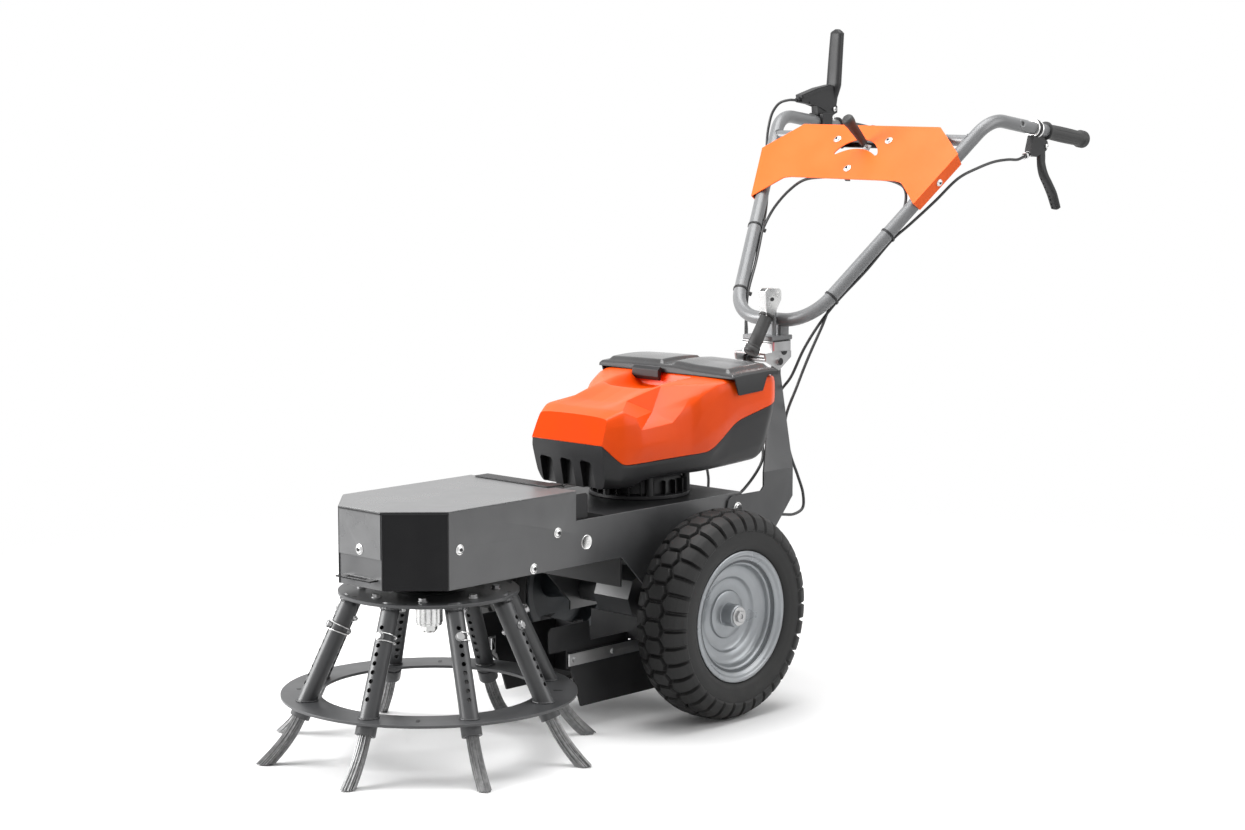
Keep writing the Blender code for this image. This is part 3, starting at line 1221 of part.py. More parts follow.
def lever_blade(name, pivot, points, widths, x, thickness, hub):
    """A flat lever: a hub on its pin and a blade along a line of points."""
    outline = []
    back = []
    for index, (point, width) in enumerate(zip(points, widths)):
        before = Vector(points[max(index - 1, 0)])
        after = Vector(points[min(index + 1, len(points) - 1)])
        along = (after - before).normalized()
        across = Vector((-along.y, along.x))
        outline.append(tuple(Vector(point) + across * width / 2))
        back.append(tuple(Vector(point) - across * width / 2))
    blade = prism(name, outline + list(reversed(back)), x - thickness / 2, x + thickness / 2, "X")
    boss = rod("boss", (x - 0.0036, *pivot), (x + 0.0036, *pivot), hub, 10)
    hole = rod("hole", (x - 0.02, *pivot), (x + 0.02, *pivot), 0.0030 + RUN, 8, True)
    return bored(joined(blade, boss), hole)


def brake_lever():
    """The brake lever's curved blade, ending in a rounded tip."""
    y, z = BRAKE_PIVOT
    points = [(y + 0.0060, z - 0.006), (y + 0.0180, z - 0.0300), (y + 0.0380, z - 0.0620),
              (y + 0.0560, z - 0.0980), (y + 0.0690, z - 0.1280)]
    widths = [0.011, 0.016, 0.017, 0.016, 0.013]
    blade = lever_blade("brake_lever", BRAKE_PIVOT, points, widths, TOP_HALF, 0.0076, 0.0085)
    wide = [(y + 0.0200, z - 0.0330), (y + 0.0380, z - 0.0620), (y + 0.0560, z - 0.0980), (y + 0.0690, z - 0.1280)]
    outer = [(a + 0.0070, b + 0.0040) for a, b in wide]
    inner = [(a - 0.0070, b - 0.0040) for a, b in wide]
    pad = prism("pad", outer + list(reversed(inner)), TOP_HALF - 0.0095, TOP_HALF + 0.0095, "X")
    return joined(blade, pad)


def deadman_bracket():
    """The dead-man lever's cast bracket, clamped on top of the right-hand tube."""
    y, z = DEADMAN_PIVOT
    ring = band("deadman_bracket", 0.9200, 0.030, -1)
    outline = [(0.9000, 1.1350), (0.9380, 1.1300), (y + 0.012, z - 0.008), (y + 0.012, z + 0.006),
               (y + 0.002, z + 0.014), (y - 0.004, z + 0.0520), (y - 0.012, z + 0.0550), (y - 0.058, z + 0.0480),
               (y - 0.116, z + 0.0330), (y - 0.114, z + 0.0160), (y - 0.060, z + 0.0080)]
    body = prism("body", outline, -TOP_HALF - 0.0090, -TOP_HALF + 0.0090, "X")
    fork = prism("fork", [(y - 0.0140, z - 0.0150), (y - 0.0140, z + 0.0600), (y + 0.03, z + 0.0600),
                          (y + 0.03, z - 0.0150)], -TOP_HALF - 0.0042, -TOP_HALF + 0.0042, "X")
    pin = rod("pin", (-TOP_HALF - 0.0105, y, z), (-TOP_HALF + 0.0105, y, z), 0.0030, 8)
    stop = rod("stop", (-TOP_HALF, y - 0.110, z + 0.0245), (-TOP_HALF, y - 0.124, z + 0.0210), 0.0055, 8)
    return joined(cut_for_tube(bored(joined(ring, body, stop), fork), 0.9200, -1), pin)


def deadman_lever():
    """The dead-man lever's upright blade, let go."""
    y, z = DEADMAN_PIVOT
    points = [(y + 0.0040, z + 0.006), (y + 0.0090, z + 0.0500), (y + 0.0130, z + 0.1000),
              (y + 0.0170, z + 0.1450), (y + 0.0200, z + 0.1760)]
    widths = [0.012, 0.014, 0.017, 0.017, 0.012]
    blade = lever_blade("deadman_lever", DEADMAN_PIVOT, points, widths, -TOP_HALF, 0.0076, 0.0090)
    wide = [(y + 0.0100, z + 0.0660), (y + 0.0130, z + 0.1000), (y + 0.0170, z + 0.1450), (y + 0.0200, z + 0.1760)]
    outer = [(a + 0.0075, b) for a, b in wide]
    inner = [(a - 0.0075, b) for a, b in wide]
    pad = prism("pad", outer + list(reversed(inner)), -TOP_HALF - 0.0115, -TOP_HALF + 0.0115, "X")
    return joined(blade, pad)


def leg_line(at, side, off, beside=0.0):
    """A place just behind a leg, where a cable lies along it, beside its middle by a distance."""
    return plane_point(side * (leg_half(at) + beside), at, off)


def cables():
    """The control cables: one from each hand lever, and the speed lever's pair, joined at its stop."""
    speed_cable_at = STOP_AT - CABLE_RADIUS / math.cos(math.pi / 6) - GAP
    touch = TUBE_RADIUS + CABLE_RADIUS + GAP
    behind = -touch
    beside = CABLE_RADIUS * 1.3
    paired = -math.sqrt(touch ** 2 - beside ** 2)
    low_route = [(0.0900, 0.3835, 0.6510), (0.0600, 0.4040, 0.6120), (0.0420, 0.3950, 0.5850),
                 (0.0450, 0.3550, 0.5450), (0.0750, 0.2980, 0.5000), (0.1120, 0.2530, 0.4604),
                 (0.1190, 0.1920, 0.4130), (0.1170, 0.1600, 0.3970), (0.1120, 0.1300, 0.3880)]
    speed_low = [(0.1070, 0.4180, 0.7030), (0.1050, 0.4150, 0.6720), (0.0920, 0.3955, 0.6125),
                 (0.0760, 0.3620, 0.5260), (0.1180, 0.3357, 0.4647), (0.1240, 0.3520, 0.4214),
                 (0.1280, 0.3651, 0.3825), (0.1300, 0.3620, 0.3540), (0.1280, 0.3380, 0.3440),
                 (0.1240, 0.3000, 0.3470), (0.1180, 0.2350, 0.3520), (0.1040, 0.1500, 0.3620)]
    y, z = BRAKE_PIVOT
    brake = [
        (TOP_HALF, y - 0.0723, z - 0.0211), (TOP_HALF, y - 0.090, z - 0.0268),
        (TOP_HALF - 0.001, y - 0.127, z - 0.0270), (TOP_HALF - 0.006, y - 0.170, z - 0.0345),
        (TOP_HALF - 0.014, y - 0.213, z - 0.0470), (TOP_HALF - 0.030, y - 0.262, z - 0.0670),
        (TOP_HALF - 0.055, y - 0.309, z - 0.1080), (TOP_HALF - 0.080, y - 0.360, z - 0.1545),
        leg_line(0.173, 1, paired - GAP, beside), leg_line(0.090, 1, paired - 0.002, beside + 0.001),
        leg_line(0.000, 1, paired - GAP, beside), (0.118, 0.418, 0.706), *low_route,
    ]
    y, z = DEADMAN_PIVOT
    deadman = [
        (-TOP_HALF, y - 0.1243, z + 0.0209), (-TOP_HALF, y - 0.1440, z + 0.0160),
        (-TOP_HALF - 0.009, y - 0.1550, z + 0.0070), (-TOP_HALF - 0.017, y - 0.1660, z - 0.0100),
        (-TOP_HALF - 0.021, y - 0.1740, z - 0.0350), (-TOP_HALF - 0.019, y - 0.1850, z - 0.0600),
        (-TOP_HALF - 0.017, y - 0.1960, z - 0.0837),
        leg_line(0.345, -1, -0.027, 0.020), leg_line(0.250, -1, behind - 0.006),
        leg_line(0.173, -1, paired - GAP, beside), leg_line(0.090, -1, paired - 0.002, beside + 0.001),
        leg_line(0.000, -1, paired - GAP, beside), (-0.118, 0.418, 0.706),
        *[(-x, y, z) for x, y, z in low_route],
    ]
    half = [
        plane_point(0.0, speed_cable_at, 0.0030), plane_point(0.060, speed_cable_at, 0.0020),
        plane_point(0.118, speed_cable_at - 0.004, -0.001), plane_point(0.145, STOP_AT - 0.029, -0.005),
        plane_point(0.164, STOP_AT - 0.068, -0.010), plane_point(0.170, STOP_AT - 0.100, -0.014),
        leg_line(0.160, 1, paired - GAP, -beside), leg_line(0.090, 1, paired - 0.002, -beside - 0.001),
        leg_line(0.000, 1, paired - GAP, -beside), *speed_low,
    ]
    speed = [(-place[0], place[1], place[2]) for place in reversed(half)] + half[1:]
    return [cable("brake_cable", brake, CABLE_RADIUS), cable("deadman_cable", deadman, CABLE_RADIUS),
            cable("speed_cable", speed, CABLE_RADIUS, 1)]


def centred(machine):
    """Slide the machine so that its box is centred over the origin."""
    graph = bpy.context.evaluated_depsgraph_get()
    graph.update()
    low = Vector((1e9, 1e9, 1e9))
    high = -low
    for thing in bpy.data.objects:
        if thing.type not in {"MESH", "CURVE"}:
            continue
        seen = thing.evaluated_get(graph)
        mesh = seen.to_mesh()
        for vert in mesh.vertices:
            place = seen.matrix_world @ vert.co
            low = Vector(map(min, low, place))
            high = Vector(map(max, high, place))
        seen.to_mesh_clear()
    middle = (low + high) / 2
    machine.root.location = (-middle.x, -middle.y, -low.z)


def build():
    """Make every piece and hang it on its body."""
    clear_scene()
    steel_paint = colour_material("dark_paint", (0.085, 0.085, 0.09), 0.4, 0.6)
    black_paint = colour_material("black_paint", (0.012, 0.012, 0.013), 0.45, 0.0)
    orange_paint = colour_material("orange_paint", (0.95, 0.18, 0.02), 0.4, 0.0)
    orange_plastic = colour_material("orange_plastic", (0.95, 0.15, 0.01), 0.35, 0.0)
    black_plastic = colour_material("black_plastic", (0.03, 0.03, 0.032), 0.5, 0.0)
    zinc = colour_material("zinc", (0.62, 0.62, 0.62), 0.3, 1.0)
    tube_paint = colour_material("tube_paint", (0.16, 0.16, 0.16), 0.35, 0.7)
    rim_paint = colour_material("rim_paint", (0.30, 0.31, 0.33), 0.4, 0.5)
    tyre_rubber = colour_material("tyre_rubber", (0.018, 0.018, 0.019), 0.8, 0.0)
    grip_rubber = colour_material("grip_rubber", (0.03, 0.03, 0.03), 0.7, 0.0)
    wire = colour_material("brush_wire", (0.10, 0.10, 0.10), 0.5, 0.8)

    machine = Machine()
    machine.body("motor_rotor", (0, MOTOR_Y, BELT_Z))
    machine.body("brush", (0, BRUSH_Y, DISC_TOP))
    machine.body("left_wheel", (TRACK / 2, 0, TYRE_RADIUS))
    machine.body("right_wheel", (-TRACK / 2, 0, TYRE_RADIUS))
    machine.body("battery_lid", (0, LID_REAR, LID_BOTTOM))
    machine.body("lid_latch", (LATCH_X, LID_FRONT - 0.0050, LATCH_AXIS_Z), "battery_lid")
    machine.body("handle_bracket", (0, PIVOT_Y, PIVOT_Z))
    machine.body("handlebar", (0, SWIVEL_Y, BLOCK_BOTTOM), "handle_bracket")
    machine.body("clamp_lever", (CLAMP_X, CLAMP_Y, LEVER_PIVOT_Z), "handlebar")
    machine.body("speed_lever", plane_point(0, SPEED_PIVOT_AT, TUBE_RADIUS), "handlebar")
    machine.body("brake_lever", (TOP_HALF, *BRAKE_PIVOT), "handlebar")
    machine.body("deadman_lever", (-TOP_HALF, *DEADMAN_PIVOT), "handlebar")

    left_plate = side_plate("left_side_plate")
    right_plate = mirrored(left_plate, "right_side_plate")
    left_skirt = skirt("left_skirt")
    right_skirt = mirrored(left_skirt, "right_skirt")
    left_strip = skirt_strip("left_skirt_strip")
    right_strip = mirrored(left_strip, "right_skirt_strip")
    left_cheek = column_cheek("left_column_cheek")
    right_cheek = mirrored(left_cheek, "right_column_cheek")
    painted = [left_plate, right_plate, front_wall(), top_cover(), motor_deck(), cross_wall(),
               left_cheek, right_cheek]
    for thing in painted:
        machine.put(thing, "chassis", steel_paint)
    for thing in (guard_frame(), left_skirt, right_skirt):
        machine.put(thing, "chassis", black_paint)
    for thing in (left_strip, right_strip):
        machine.put(thing, "chassis", zinc)
    machine.put(spindle_housing(), "chassis", black_paint, 30)
    machine.put(gearbox(), "chassis", black_paint, 30)
    machine.put(drive_belt(), "chassis", grip_rubber)
    machine.put(motor_base(), "chassis", black_plastic, 35)
    machine.put(motor_cover(), "chassis", orange_plastic, 35)
    machine.put(battery_pack(), "chassis", black_plastic)
    machine.put(battery_lid(), "battery_lid", black_plastic, 35)
    machine.put(lid_latch(), "lid_latch", black_plastic)
    machine.put(motor_shaft(), "motor_rotor", zinc, 30)

    left_tyre = tyre("left_tyre")
    left_rim = rim("left_rim")
    for thing, material in ((left_tyre, tyre_rubber), (left_rim, rim_paint)):
        other = mirrored(thing, thing.name.replace("left", "right"))
        machine.put(thing, "left_wheel", material, 30)
        machine.put(other, "right_wheel", material, 30)

    machine.put(brush_disc(), "brush", steel_paint, 30)
    machine.put(brush_ring(), "brush", steel_paint, 30)
    machine.put(brush_spindle(), "brush", zinc, 30)
    leg = leg_tube()
    bundle = bristle_bundle()
    for number in range(LEG_COUNT):
        angle = LEG_FIRST_ANGLE + 360 / LEG_COUNT * number
        place = Matrix.Translation((0, BRUSH_Y, 0)) @ Matrix.Rotation(math.radians(angle), 4, "Z")
        machine.put(copied(leg, f"leg_tube_{number + 1}", place), "brush", steel_paint, 30)
        body = f"bristles_{number + 1}"
        machine.body(body, place @ leg_point(LEG_LOW), "brush")
        machine.put(copied(bundle, f"bristle_bundle_{number + 1}", place), body, wire)
    bpy.data.objects.remove(leg, do_unlink=True)
    bpy.data.objects.remove(bundle, do_unlink=True)

    machine.put(clamp_bracket(), "handle_bracket", zinc)
    machine.put(clamp_plate(), "handlebar", zinc)
    machine.put(clamp_lever(), "clamp_lever", black_plastic, 30)
    machine.put(handlebar_frame(), "handlebar", tube_paint, 40)
    machine.put(console_plate(), "handlebar", orange_paint)
    machine.put(speed_lever(), "speed_lever", black_plastic, 30)
    left_grip = grip("left_grip")
    right_grip = mirrored(left_grip, "right_grip")
    machine.put(left_grip, "handlebar", grip_rubber, 30)
    machine.put(right_grip, "handlebar", grip_rubber, 30)
    machine.put(brake_bracket(), "handlebar", black_plastic)
    machine.put(brake_lever(), "brake_lever", black_plastic)
    machine.put(deadman_bracket(), "handlebar", black_plastic)
    machine.put(deadman_lever(), "deadman_lever", black_plastic)
    for thing in cables():
        machine.put(thing, "handlebar", grip_rubber)
    centred(machine)


build()
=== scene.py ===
"""Looks of the walk-behind weed brush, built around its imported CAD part.

Shapes are worked out in the machine's own frame: the axle is at y = 0, the machine drives towards -Y,
its left side is +X and the ground is z = 0. finished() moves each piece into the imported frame.

In order: mesh helpers, materials, copies of CAD nodes, screws, wheels, brush, power unit, handlebar with its
console, levers, cables and clamp, and the studio. Lengths are in metres.
"""

import math

import bmesh
import bpy
import numpy as np
from mathutils import Matrix, Vector


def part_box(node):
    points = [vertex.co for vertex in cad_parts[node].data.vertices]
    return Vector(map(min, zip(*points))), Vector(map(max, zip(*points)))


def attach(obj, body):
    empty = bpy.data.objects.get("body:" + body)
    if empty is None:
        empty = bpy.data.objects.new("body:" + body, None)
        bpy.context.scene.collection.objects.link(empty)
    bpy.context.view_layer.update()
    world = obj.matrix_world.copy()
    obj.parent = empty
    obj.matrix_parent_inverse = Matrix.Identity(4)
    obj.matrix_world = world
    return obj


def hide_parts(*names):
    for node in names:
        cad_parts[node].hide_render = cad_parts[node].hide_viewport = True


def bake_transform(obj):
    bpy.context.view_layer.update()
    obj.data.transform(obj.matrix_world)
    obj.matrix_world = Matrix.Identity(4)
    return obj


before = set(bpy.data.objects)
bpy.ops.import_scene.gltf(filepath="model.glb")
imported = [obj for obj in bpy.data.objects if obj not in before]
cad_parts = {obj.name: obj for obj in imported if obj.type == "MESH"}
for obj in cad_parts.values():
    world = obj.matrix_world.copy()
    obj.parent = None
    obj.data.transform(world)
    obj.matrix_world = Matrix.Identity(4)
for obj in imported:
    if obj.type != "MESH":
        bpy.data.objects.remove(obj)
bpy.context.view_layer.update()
AXLE_Y = sum(corner[1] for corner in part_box("left_rim")) / 2

# Wheels
WHEEL_Z = 0.203
WHEEL_X = 0.227
CROWN_RADIUS = 0.195
LUGS = 36
TREAD_DEPTH = 0.008

# Brush
BRUSH_Y = -0.5587
LEG_ANGLES = [19.56 + 45.0 * leg for leg in range(8)]
LEG_ROOT_Z = 0.2959
LEG_ROOT_RADIUS = 0.1450
LEG_TILT = math.radians(25.3)
LEG_SLOPE = math.tan(LEG_TILT)
LEG_RADIUS = 0.01685
HOLE_TURN = math.radians(5.0)
HOLE_HEIGHTS = [0.256 - 0.01475 * hole for hole in range(9)]
STRANDS = 64

# Arm
ARM_HALF = 0.1402


# Meshes worked out as arrays

def skin(grid, closed=True, caps=(False, False)):
    """Quads over a grid of points: ring i and place j join to ring i + 1 and place j + 1.

    closed joins each ring's last place to its first, and caps close the first and the last ring.
    """
    rings, count = grid.shape[:2]
    index = np.arange(rings * count).reshape(rings, count)
    if closed:
        index = np.concatenate([index, index[:, :1]], axis=1)
    quads = np.stack([index[:-1, :-1], index[:-1, 1:], index[1:, 1:], index[1:, :-1]], axis=-1)
    faces = quads.reshape(-1, 4).tolist()
    if caps[0]:
        faces.append(np.arange(count)[::-1].tolist())
    if caps[1]:
        faces.append((np.arange(count) + (rings - 1) * count).tolist())
    return grid.reshape(-1, 3), faces


def merged(*parts):
    """Several (points, faces) pairs as one."""
    points = []
    faces = []
    count = 0
    for part_points, part_faces in parts:
        points.append(np.asarray(part_points, dtype=float))
        faces.extend([[index + count for index in face] for face in part_faces])
        count += len(part_points)
    return np.concatenate(points), faces


def placed(part, matrix):
    """A (points, faces) pair carried by a 4x4 matrix."""
    points, faces = part
    m = np.array(matrix)
    return points @ m[:3, :3].T + m[:3, 3], faces


def even_turn(count):
    """Angles in equal steps once round."""
    return np.linspace(0.0, 2 * np.pi, count, endpoint=False)


def lathe(profile, segments=48):
    """Turn a profile of (height, radius) rows about Z: the point is (r cos a, r sin a, h).

    The profile runs from one end on the axis to the other, or closes on itself as a ring.
    """
    profile = np.asarray(profile, dtype=float)
    turn = even_turn(segments)
    height = np.repeat(profile[:, :1], segments, axis=1)
    grid = np.stack([profile[:, 1:] * np.cos(turn), profile[:, 1:] * np.sin(turn), height], axis=-1)
    return skin(grid)


def rod(low, high, radius, sides):
    """A closed cylinder, or a prism with a few sides, about Z between two levels."""
    return lathe([(low, 0.0), (low, radius), (high, radius), (high, 0.0)], sides)


def smooth_rise(value, start, width):
    """0 up to a start and 1 beyond a width from it, with a smooth step between."""
    share = np.clip((value - start) / width, 0.0, 1.0)
    return share * share * (3 - 2 * share)


def rounded_line(points, radii, steps):
    """A polyline with its inner corners turned into arcs of the given radii."""
    points = [Vector(point) for point in points]
    path = [points[0]]
    for place in range(1, len(points) - 1):
        corner = points[place]
        before = (points[place - 1] - corner).normalized()
        after = (points[place + 1] - corner).normalized()
        half = before.angle(after) / 2
        radius = radii[place - 1]
        centre = corner + (before + after).normalized() * (radius / math.sin(half))
        start = corner + before * (radius / math.tan(half)) - centre
        end = corner + after * (radius / math.tan(half)) - centre
        axis = start.cross(end)
        for step in range(steps + 1):
            path.append(centre + Matrix.Rotation((math.pi - 2 * half) * step / steps, 3, axis) @ start)
    path.append(points[-1])
    return np.array(path)


def smooth_path(knots, steps=8):
    """Points on a centripetal curve through given knots, with equal steps in each span."""
    knots = np.asarray(knots, dtype=float)
    padded = np.concatenate([[2 * knots[0] - knots[1]], knots, [2 * knots[-1] - knots[-2]]])
    points = [knots[:1]]
    for span in range(len(knots) - 1):
        a, b, c, d = padded[span:span + 4]
        t1 = math.sqrt(np.linalg.norm(b - a))
        t2 = t1 + math.sqrt(np.linalg.norm(c - b))
        t3 = t2 + math.sqrt(np.linalg.norm(d - c))
        t = (t1 + (t2 - t1) * np.arange(1, steps + 1) / steps)[:, None]
        ab = a + (b - a) * t / t1
        bc = b + (c - b) * (t - t1) / (t2 - t1)
        cd = c + (d - c) * (t - t2) / (t3 - t2)
        abc = ab + (bc - ab) * t / t2
        bcd = bc + (cd - bc) * (t - t1) / (t3 - t1)
        points.append(abc + (bcd - abc) * (t - t1) / (t2 - t1))
    return np.concatenate(points)


def carried(path, section, closed=False, scale=None, up=(0.0, 0.0, 1.0)):
    """Carry a flat section of (u, v) rows along a path of points.

    Ring i is path[i] + u * side + v * lift, where lift is the part of the last lift square to the path.
    """
    path = np.asarray(path, dtype=float)
    section = np.asarray(section, dtype=float)
    if closed:
        along = np.roll(path, -1, axis=0) - np.roll(path, 1, axis=0)
    else:
        along = np.gradient(path, axis=0)
    along /= np.linalg.norm(along, axis=1, keepdims=True)
    lift = np.array(up, dtype=float)
    rings = []
    for direction in along:
        lift = lift - direction * lift.dot(direction)
        lift /= np.linalg.norm(lift)
        rings.append((np.cross(direction, lift), lift))
    grow = np.ones(len(path)) if scale is None else np.asarray(scale, dtype=float)
    side = np.array([ring[0] for ring in rings])[:, None]
    lifts = np.array([ring[1] for ring in rings])[:, None]
    grid = path[:, None] + (side * section[None, :, :1] + lifts * section[None, :, 1:]) * grow[:, None, None]
    if closed:
        grid = np.concatenate([grid, grid[:1]])
        return skin(grid)
    return skin(grid, caps=(True, True))


def circle(radius, sides):
    """A circle's (u, v) rows."""
    turn = even_turn(sides)
    return np.stack([radius * np.cos(turn), radius * np.sin(turn)], axis=-1)


def prism(outline, low, high, across="Z"):
    """A flat outline raised between two levels of one axis."""
    outline = np.asarray(outline, dtype=float)
    order = {"Z": (0, 1, 2), "X": (1, 2, 0), "Y": (0, 2, 1)}[across]
    grid = np.zeros((2, len(outline), 3))
    grid[:, :, order[0]] = outline[:, 0]
    grid[:, :, order[1]] = outline[:, 1]
    grid[0, :, order[2]] = low
    grid[1, :, order[2]] = high
    return skin(grid, caps=(True, True))


def block(near, far, low, high, across="Z"):
    """A box: a rectangle between two corners, raised between two levels of one axis."""
    return prism([near, (far[0], near[1]), far, (near[0], far[1])], low, high, across)


def onto(axis, place, turn=0.0):
    """The matrix that stands a Z-axis shape along an axis at a place, turned about that axis."""
    stand = Vector((0, 0, 1)).rotation_difference(Vector(axis).normalized()).to_matrix().to_4x4()
    return Matrix.Translation(Vector(place)) @ stand @ Matrix.Rotation(turn, 4, "Z")


SIDES = (("left", Matrix.Identity(4)), ("right", Matrix.Scale(-1.0, 4, (1, 0, 0))))


def mesh_of(name, part, merge=1e-6):
    """A mesh of a (points, faces) pair with doubles merged and faces pointing outwards."""
    points, faces = part
    mesh = bpy.data.meshes.new(name)
    mesh.from_pydata(np.asarray(points).tolist(), [], faces)
    bm = bmesh.new()
    bm.from_mesh(mesh)
    bmesh.ops.remove_doubles(bm, verts=bm.verts, dist=merge)
    bmesh.ops.dissolve_degenerate(bm, edges=bm.edges, dist=1e-7)
    bmesh.ops.recalc_face_normals(bm, faces=bm.faces)
    bm.to_mesh(mesh)
    bm.free()
    return mesh


def linked(name, data):
    """A new object in the scene."""
    thing = bpy.data.objects.new(name, data)
    bpy.context.collection.objects.link(thing)
    return thing


def carved(mesh, cutters):
    """A mesh with each cutter mesh taken away from it exactly."""
    thing = linked("carving", mesh)
    helpers = []
    for cutter in cutters:
        helper = linked("cutter", cutter)
        step = thing.modifiers.new("cut", "BOOLEAN")
        step.operation = "DIFFERENCE"
        step.solver = "EXACT"
        step.object = helper
        helpers.append(helper)
    graph = bpy.context.evaluated_depsgraph_get()
    graph.update()
    result = bpy.data.meshes.new_from_object(thing.evaluated_get(graph))
    for helper in [*helpers, thing]:
        bpy.data.objects.remove(helper, do_unlink=True)
    return result


def dressed(mesh, finish, sharp):
    """Give a mesh its finish, and smooth shading between faces that meet at less than an angle."""
    mesh.materials.clear()
    mesh.materials.append(MATERIALS[finish])
    mesh.shade_smooth()
    mesh.set_sharp_from_angle(angle=math.radians(sharp))


def finished(name, mesh, body, slot, replaces=(), sharp=35.0, bevel=0.0, steps=2, in_frame=False):
    """Link a mesh or a (points, faces) pair as a piece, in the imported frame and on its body."""
    if isinstance(mesh, tuple):
        mesh = mesh_of(name, mesh)
    if not in_frame:
        mesh.transform(Matrix.Translation((0, AXLE_Y, 0)))
    dressed(mesh, slot, sharp)
    thing = linked(name, mesh)
    if bevel:
        edge = thing.modifiers.new("edge", "BEVEL")
        edge.width = bevel
        edge.segments = steps
        edge.limit_method = "ANGLE"
        edge.angle_limit = math.radians(30)
        edge.harden_normals = True
        edge.use_clamp_overlap = True
    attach(thing, body)
    if replaces:
        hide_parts(*replaces)
    return thing


# Materials

def group(name, inputs, outputs):
    """A new shader node group with its sockets, and its input and output nodes."""
    tree = bpy.data.node_groups.new(name, "ShaderNodeTree")
    for socket, kind, value in inputs:
        made = tree.interface.new_socket(socket, in_out="INPUT", socket_type="NodeSocket" + kind)
        if value is not None:
            made.default_value = value
    for socket, kind in outputs:
        tree.interface.new_socket(socket, in_out="OUTPUT", socket_type="NodeSocket" + kind)
    return tree, tree.nodes.new("NodeGroupInput"), tree.nodes.new("NodeGroupOutput")


def preset(node, values):
    """A node with the values of its inputs set, by name or number."""
    for name, value in dict(values).items():
        node.inputs[name].default_value = value
    return node


def new_node(tree, kind, values=(), **settings):
    """A new shader node with its settings and the values of its inputs."""
    node = tree.nodes.new("ShaderNode" + kind)
    for name, value in settings.items():
        setattr(node, name, value)
    return preset(node, values)


def wire(tree, *links):
    """Join sockets: each link is a node, its output, the next node and that one's input."""
    for node, output, target, socket in links:
        tree.links.new(node.outputs[output], target.inputs[socket])


def mottle_group():
    """Slow patches between two colours: a soft noise mask mixes them, and is given out as well."""
    tree, start, end = group(
        "mottle",
        [("Vector", "Vector", None), ("Scale", "Float", 12.0), ("Low", "Float", 0.35),
         ("High", "Float", 0.65), ("Colour A", "Color", None), ("Colour B", "Color", None)],
        [("Colour", "Color"), ("Mask", "Float")])
    noise = new_node(tree, "TexNoise", {"Detail": 4.0})
    spread = new_node(tree, "MapRange")
    mix = new_node(tree, "Mix", data_type="RGBA")
    wire(tree, (start, "Vector", noise, "Vector"), (start, "Scale", noise, "Scale"),
         (noise, "Fac", spread, "Value"), (start, "Low", spread, "From Min"),
         (start, "High", spread, "From Max"), (spread, "Result", mix, "Factor"),
         (start, "Colour A", mix, "A"), (start, "Colour B", mix, "B"), (mix, "Result", end, "Colour"),
         (spread, "Result", end, "Mask"))
    return tree


def grain_group():
    """Fine surface grain: a small cell pattern and a noise, added as one height."""
    tree, start, end = group(
        "grain",
        [("Vector", "Vector", None), ("Scale", "Float", 600.0), ("Cells", "Float", 0.5),
         ("Noise", "Float", 0.5)],
        [("Height", "Float")])
    cells = new_node(tree, "TexVoronoi", feature="SMOOTH_F1")
    noise = new_node(tree, "TexNoise", {"Detail": 2.0})
    first = new_node(tree, "Math", operation="MULTIPLY")
    second = new_node(tree, "Math", operation="MULTIPLY_ADD")
    for texture in (cells, noise):
        wire(tree, (start, "Vector", texture, "Vector"), (start, "Scale", texture, "Scale"))
    wire(tree, (cells, "Distance", first, 0), (start, "Cells", first, 1), (noise, "Fac", second, 0),
         (start, "Noise", second, 1), (first, "Value", second, 2), (second, "Value", end, "Height"))
    return tree


def dust_group():
    """Ground dust: a colour laid over another below a height, broken up by noise."""
    tree, start, end = group(
        "dust",
        [("Vector", "Vector", None), ("Colour", "Color", None), ("Dust", "Color", None),
         ("Reach", "Float", 0.2), ("Amount", "Float", 0.3)],
        [("Colour", "Color"), ("Mask", "Float")])
    split = new_node(tree, "SeparateXYZ")
    fall = new_node(tree, "MapRange", {"From Min": 0.0, "To Min": 1.0, "To Max": 0.0},
                    interpolation_type="SMOOTHSTEP")
    noise = new_node(tree, "TexNoise", {"Scale": 45.0, "Detail": 5.0})
    patch = new_node(tree, "MapRange", {"From Min": 0.40, "From Max": 0.72})
    amount = new_node(tree, "Math", operation="MULTIPLY")
    mask = new_node(tree, "Math", operation="MULTIPLY")
    mix = new_node(tree, "Mix", data_type="RGBA")
    wire(tree, (start, "Vector", split, "Vector"), (start, "Vector", noise, "Vector"),
         (split, "Z", fall, "Value"), (start, "Reach", fall, "From Max"), (noise, "Fac", patch, "Value"),
         (fall, "Result", amount, 0), (start, "Amount", amount, 1), (amount, "Value", mask, 0),
         (patch, "Result", mask, 1), (mask, "Value", mix, "Factor"), (start, "Colour", mix, "A"),
         (start, "Dust", mix, "B"), (mix, "Result", end, "Colour"), (mask, "Value", end, "Mask"))
    return tree


MOTTLE = mottle_group()
GRAIN = grain_group()
DUST = dust_group()
DUST_COLOUR = (0.30, 0.27, 0.23, 1.0)


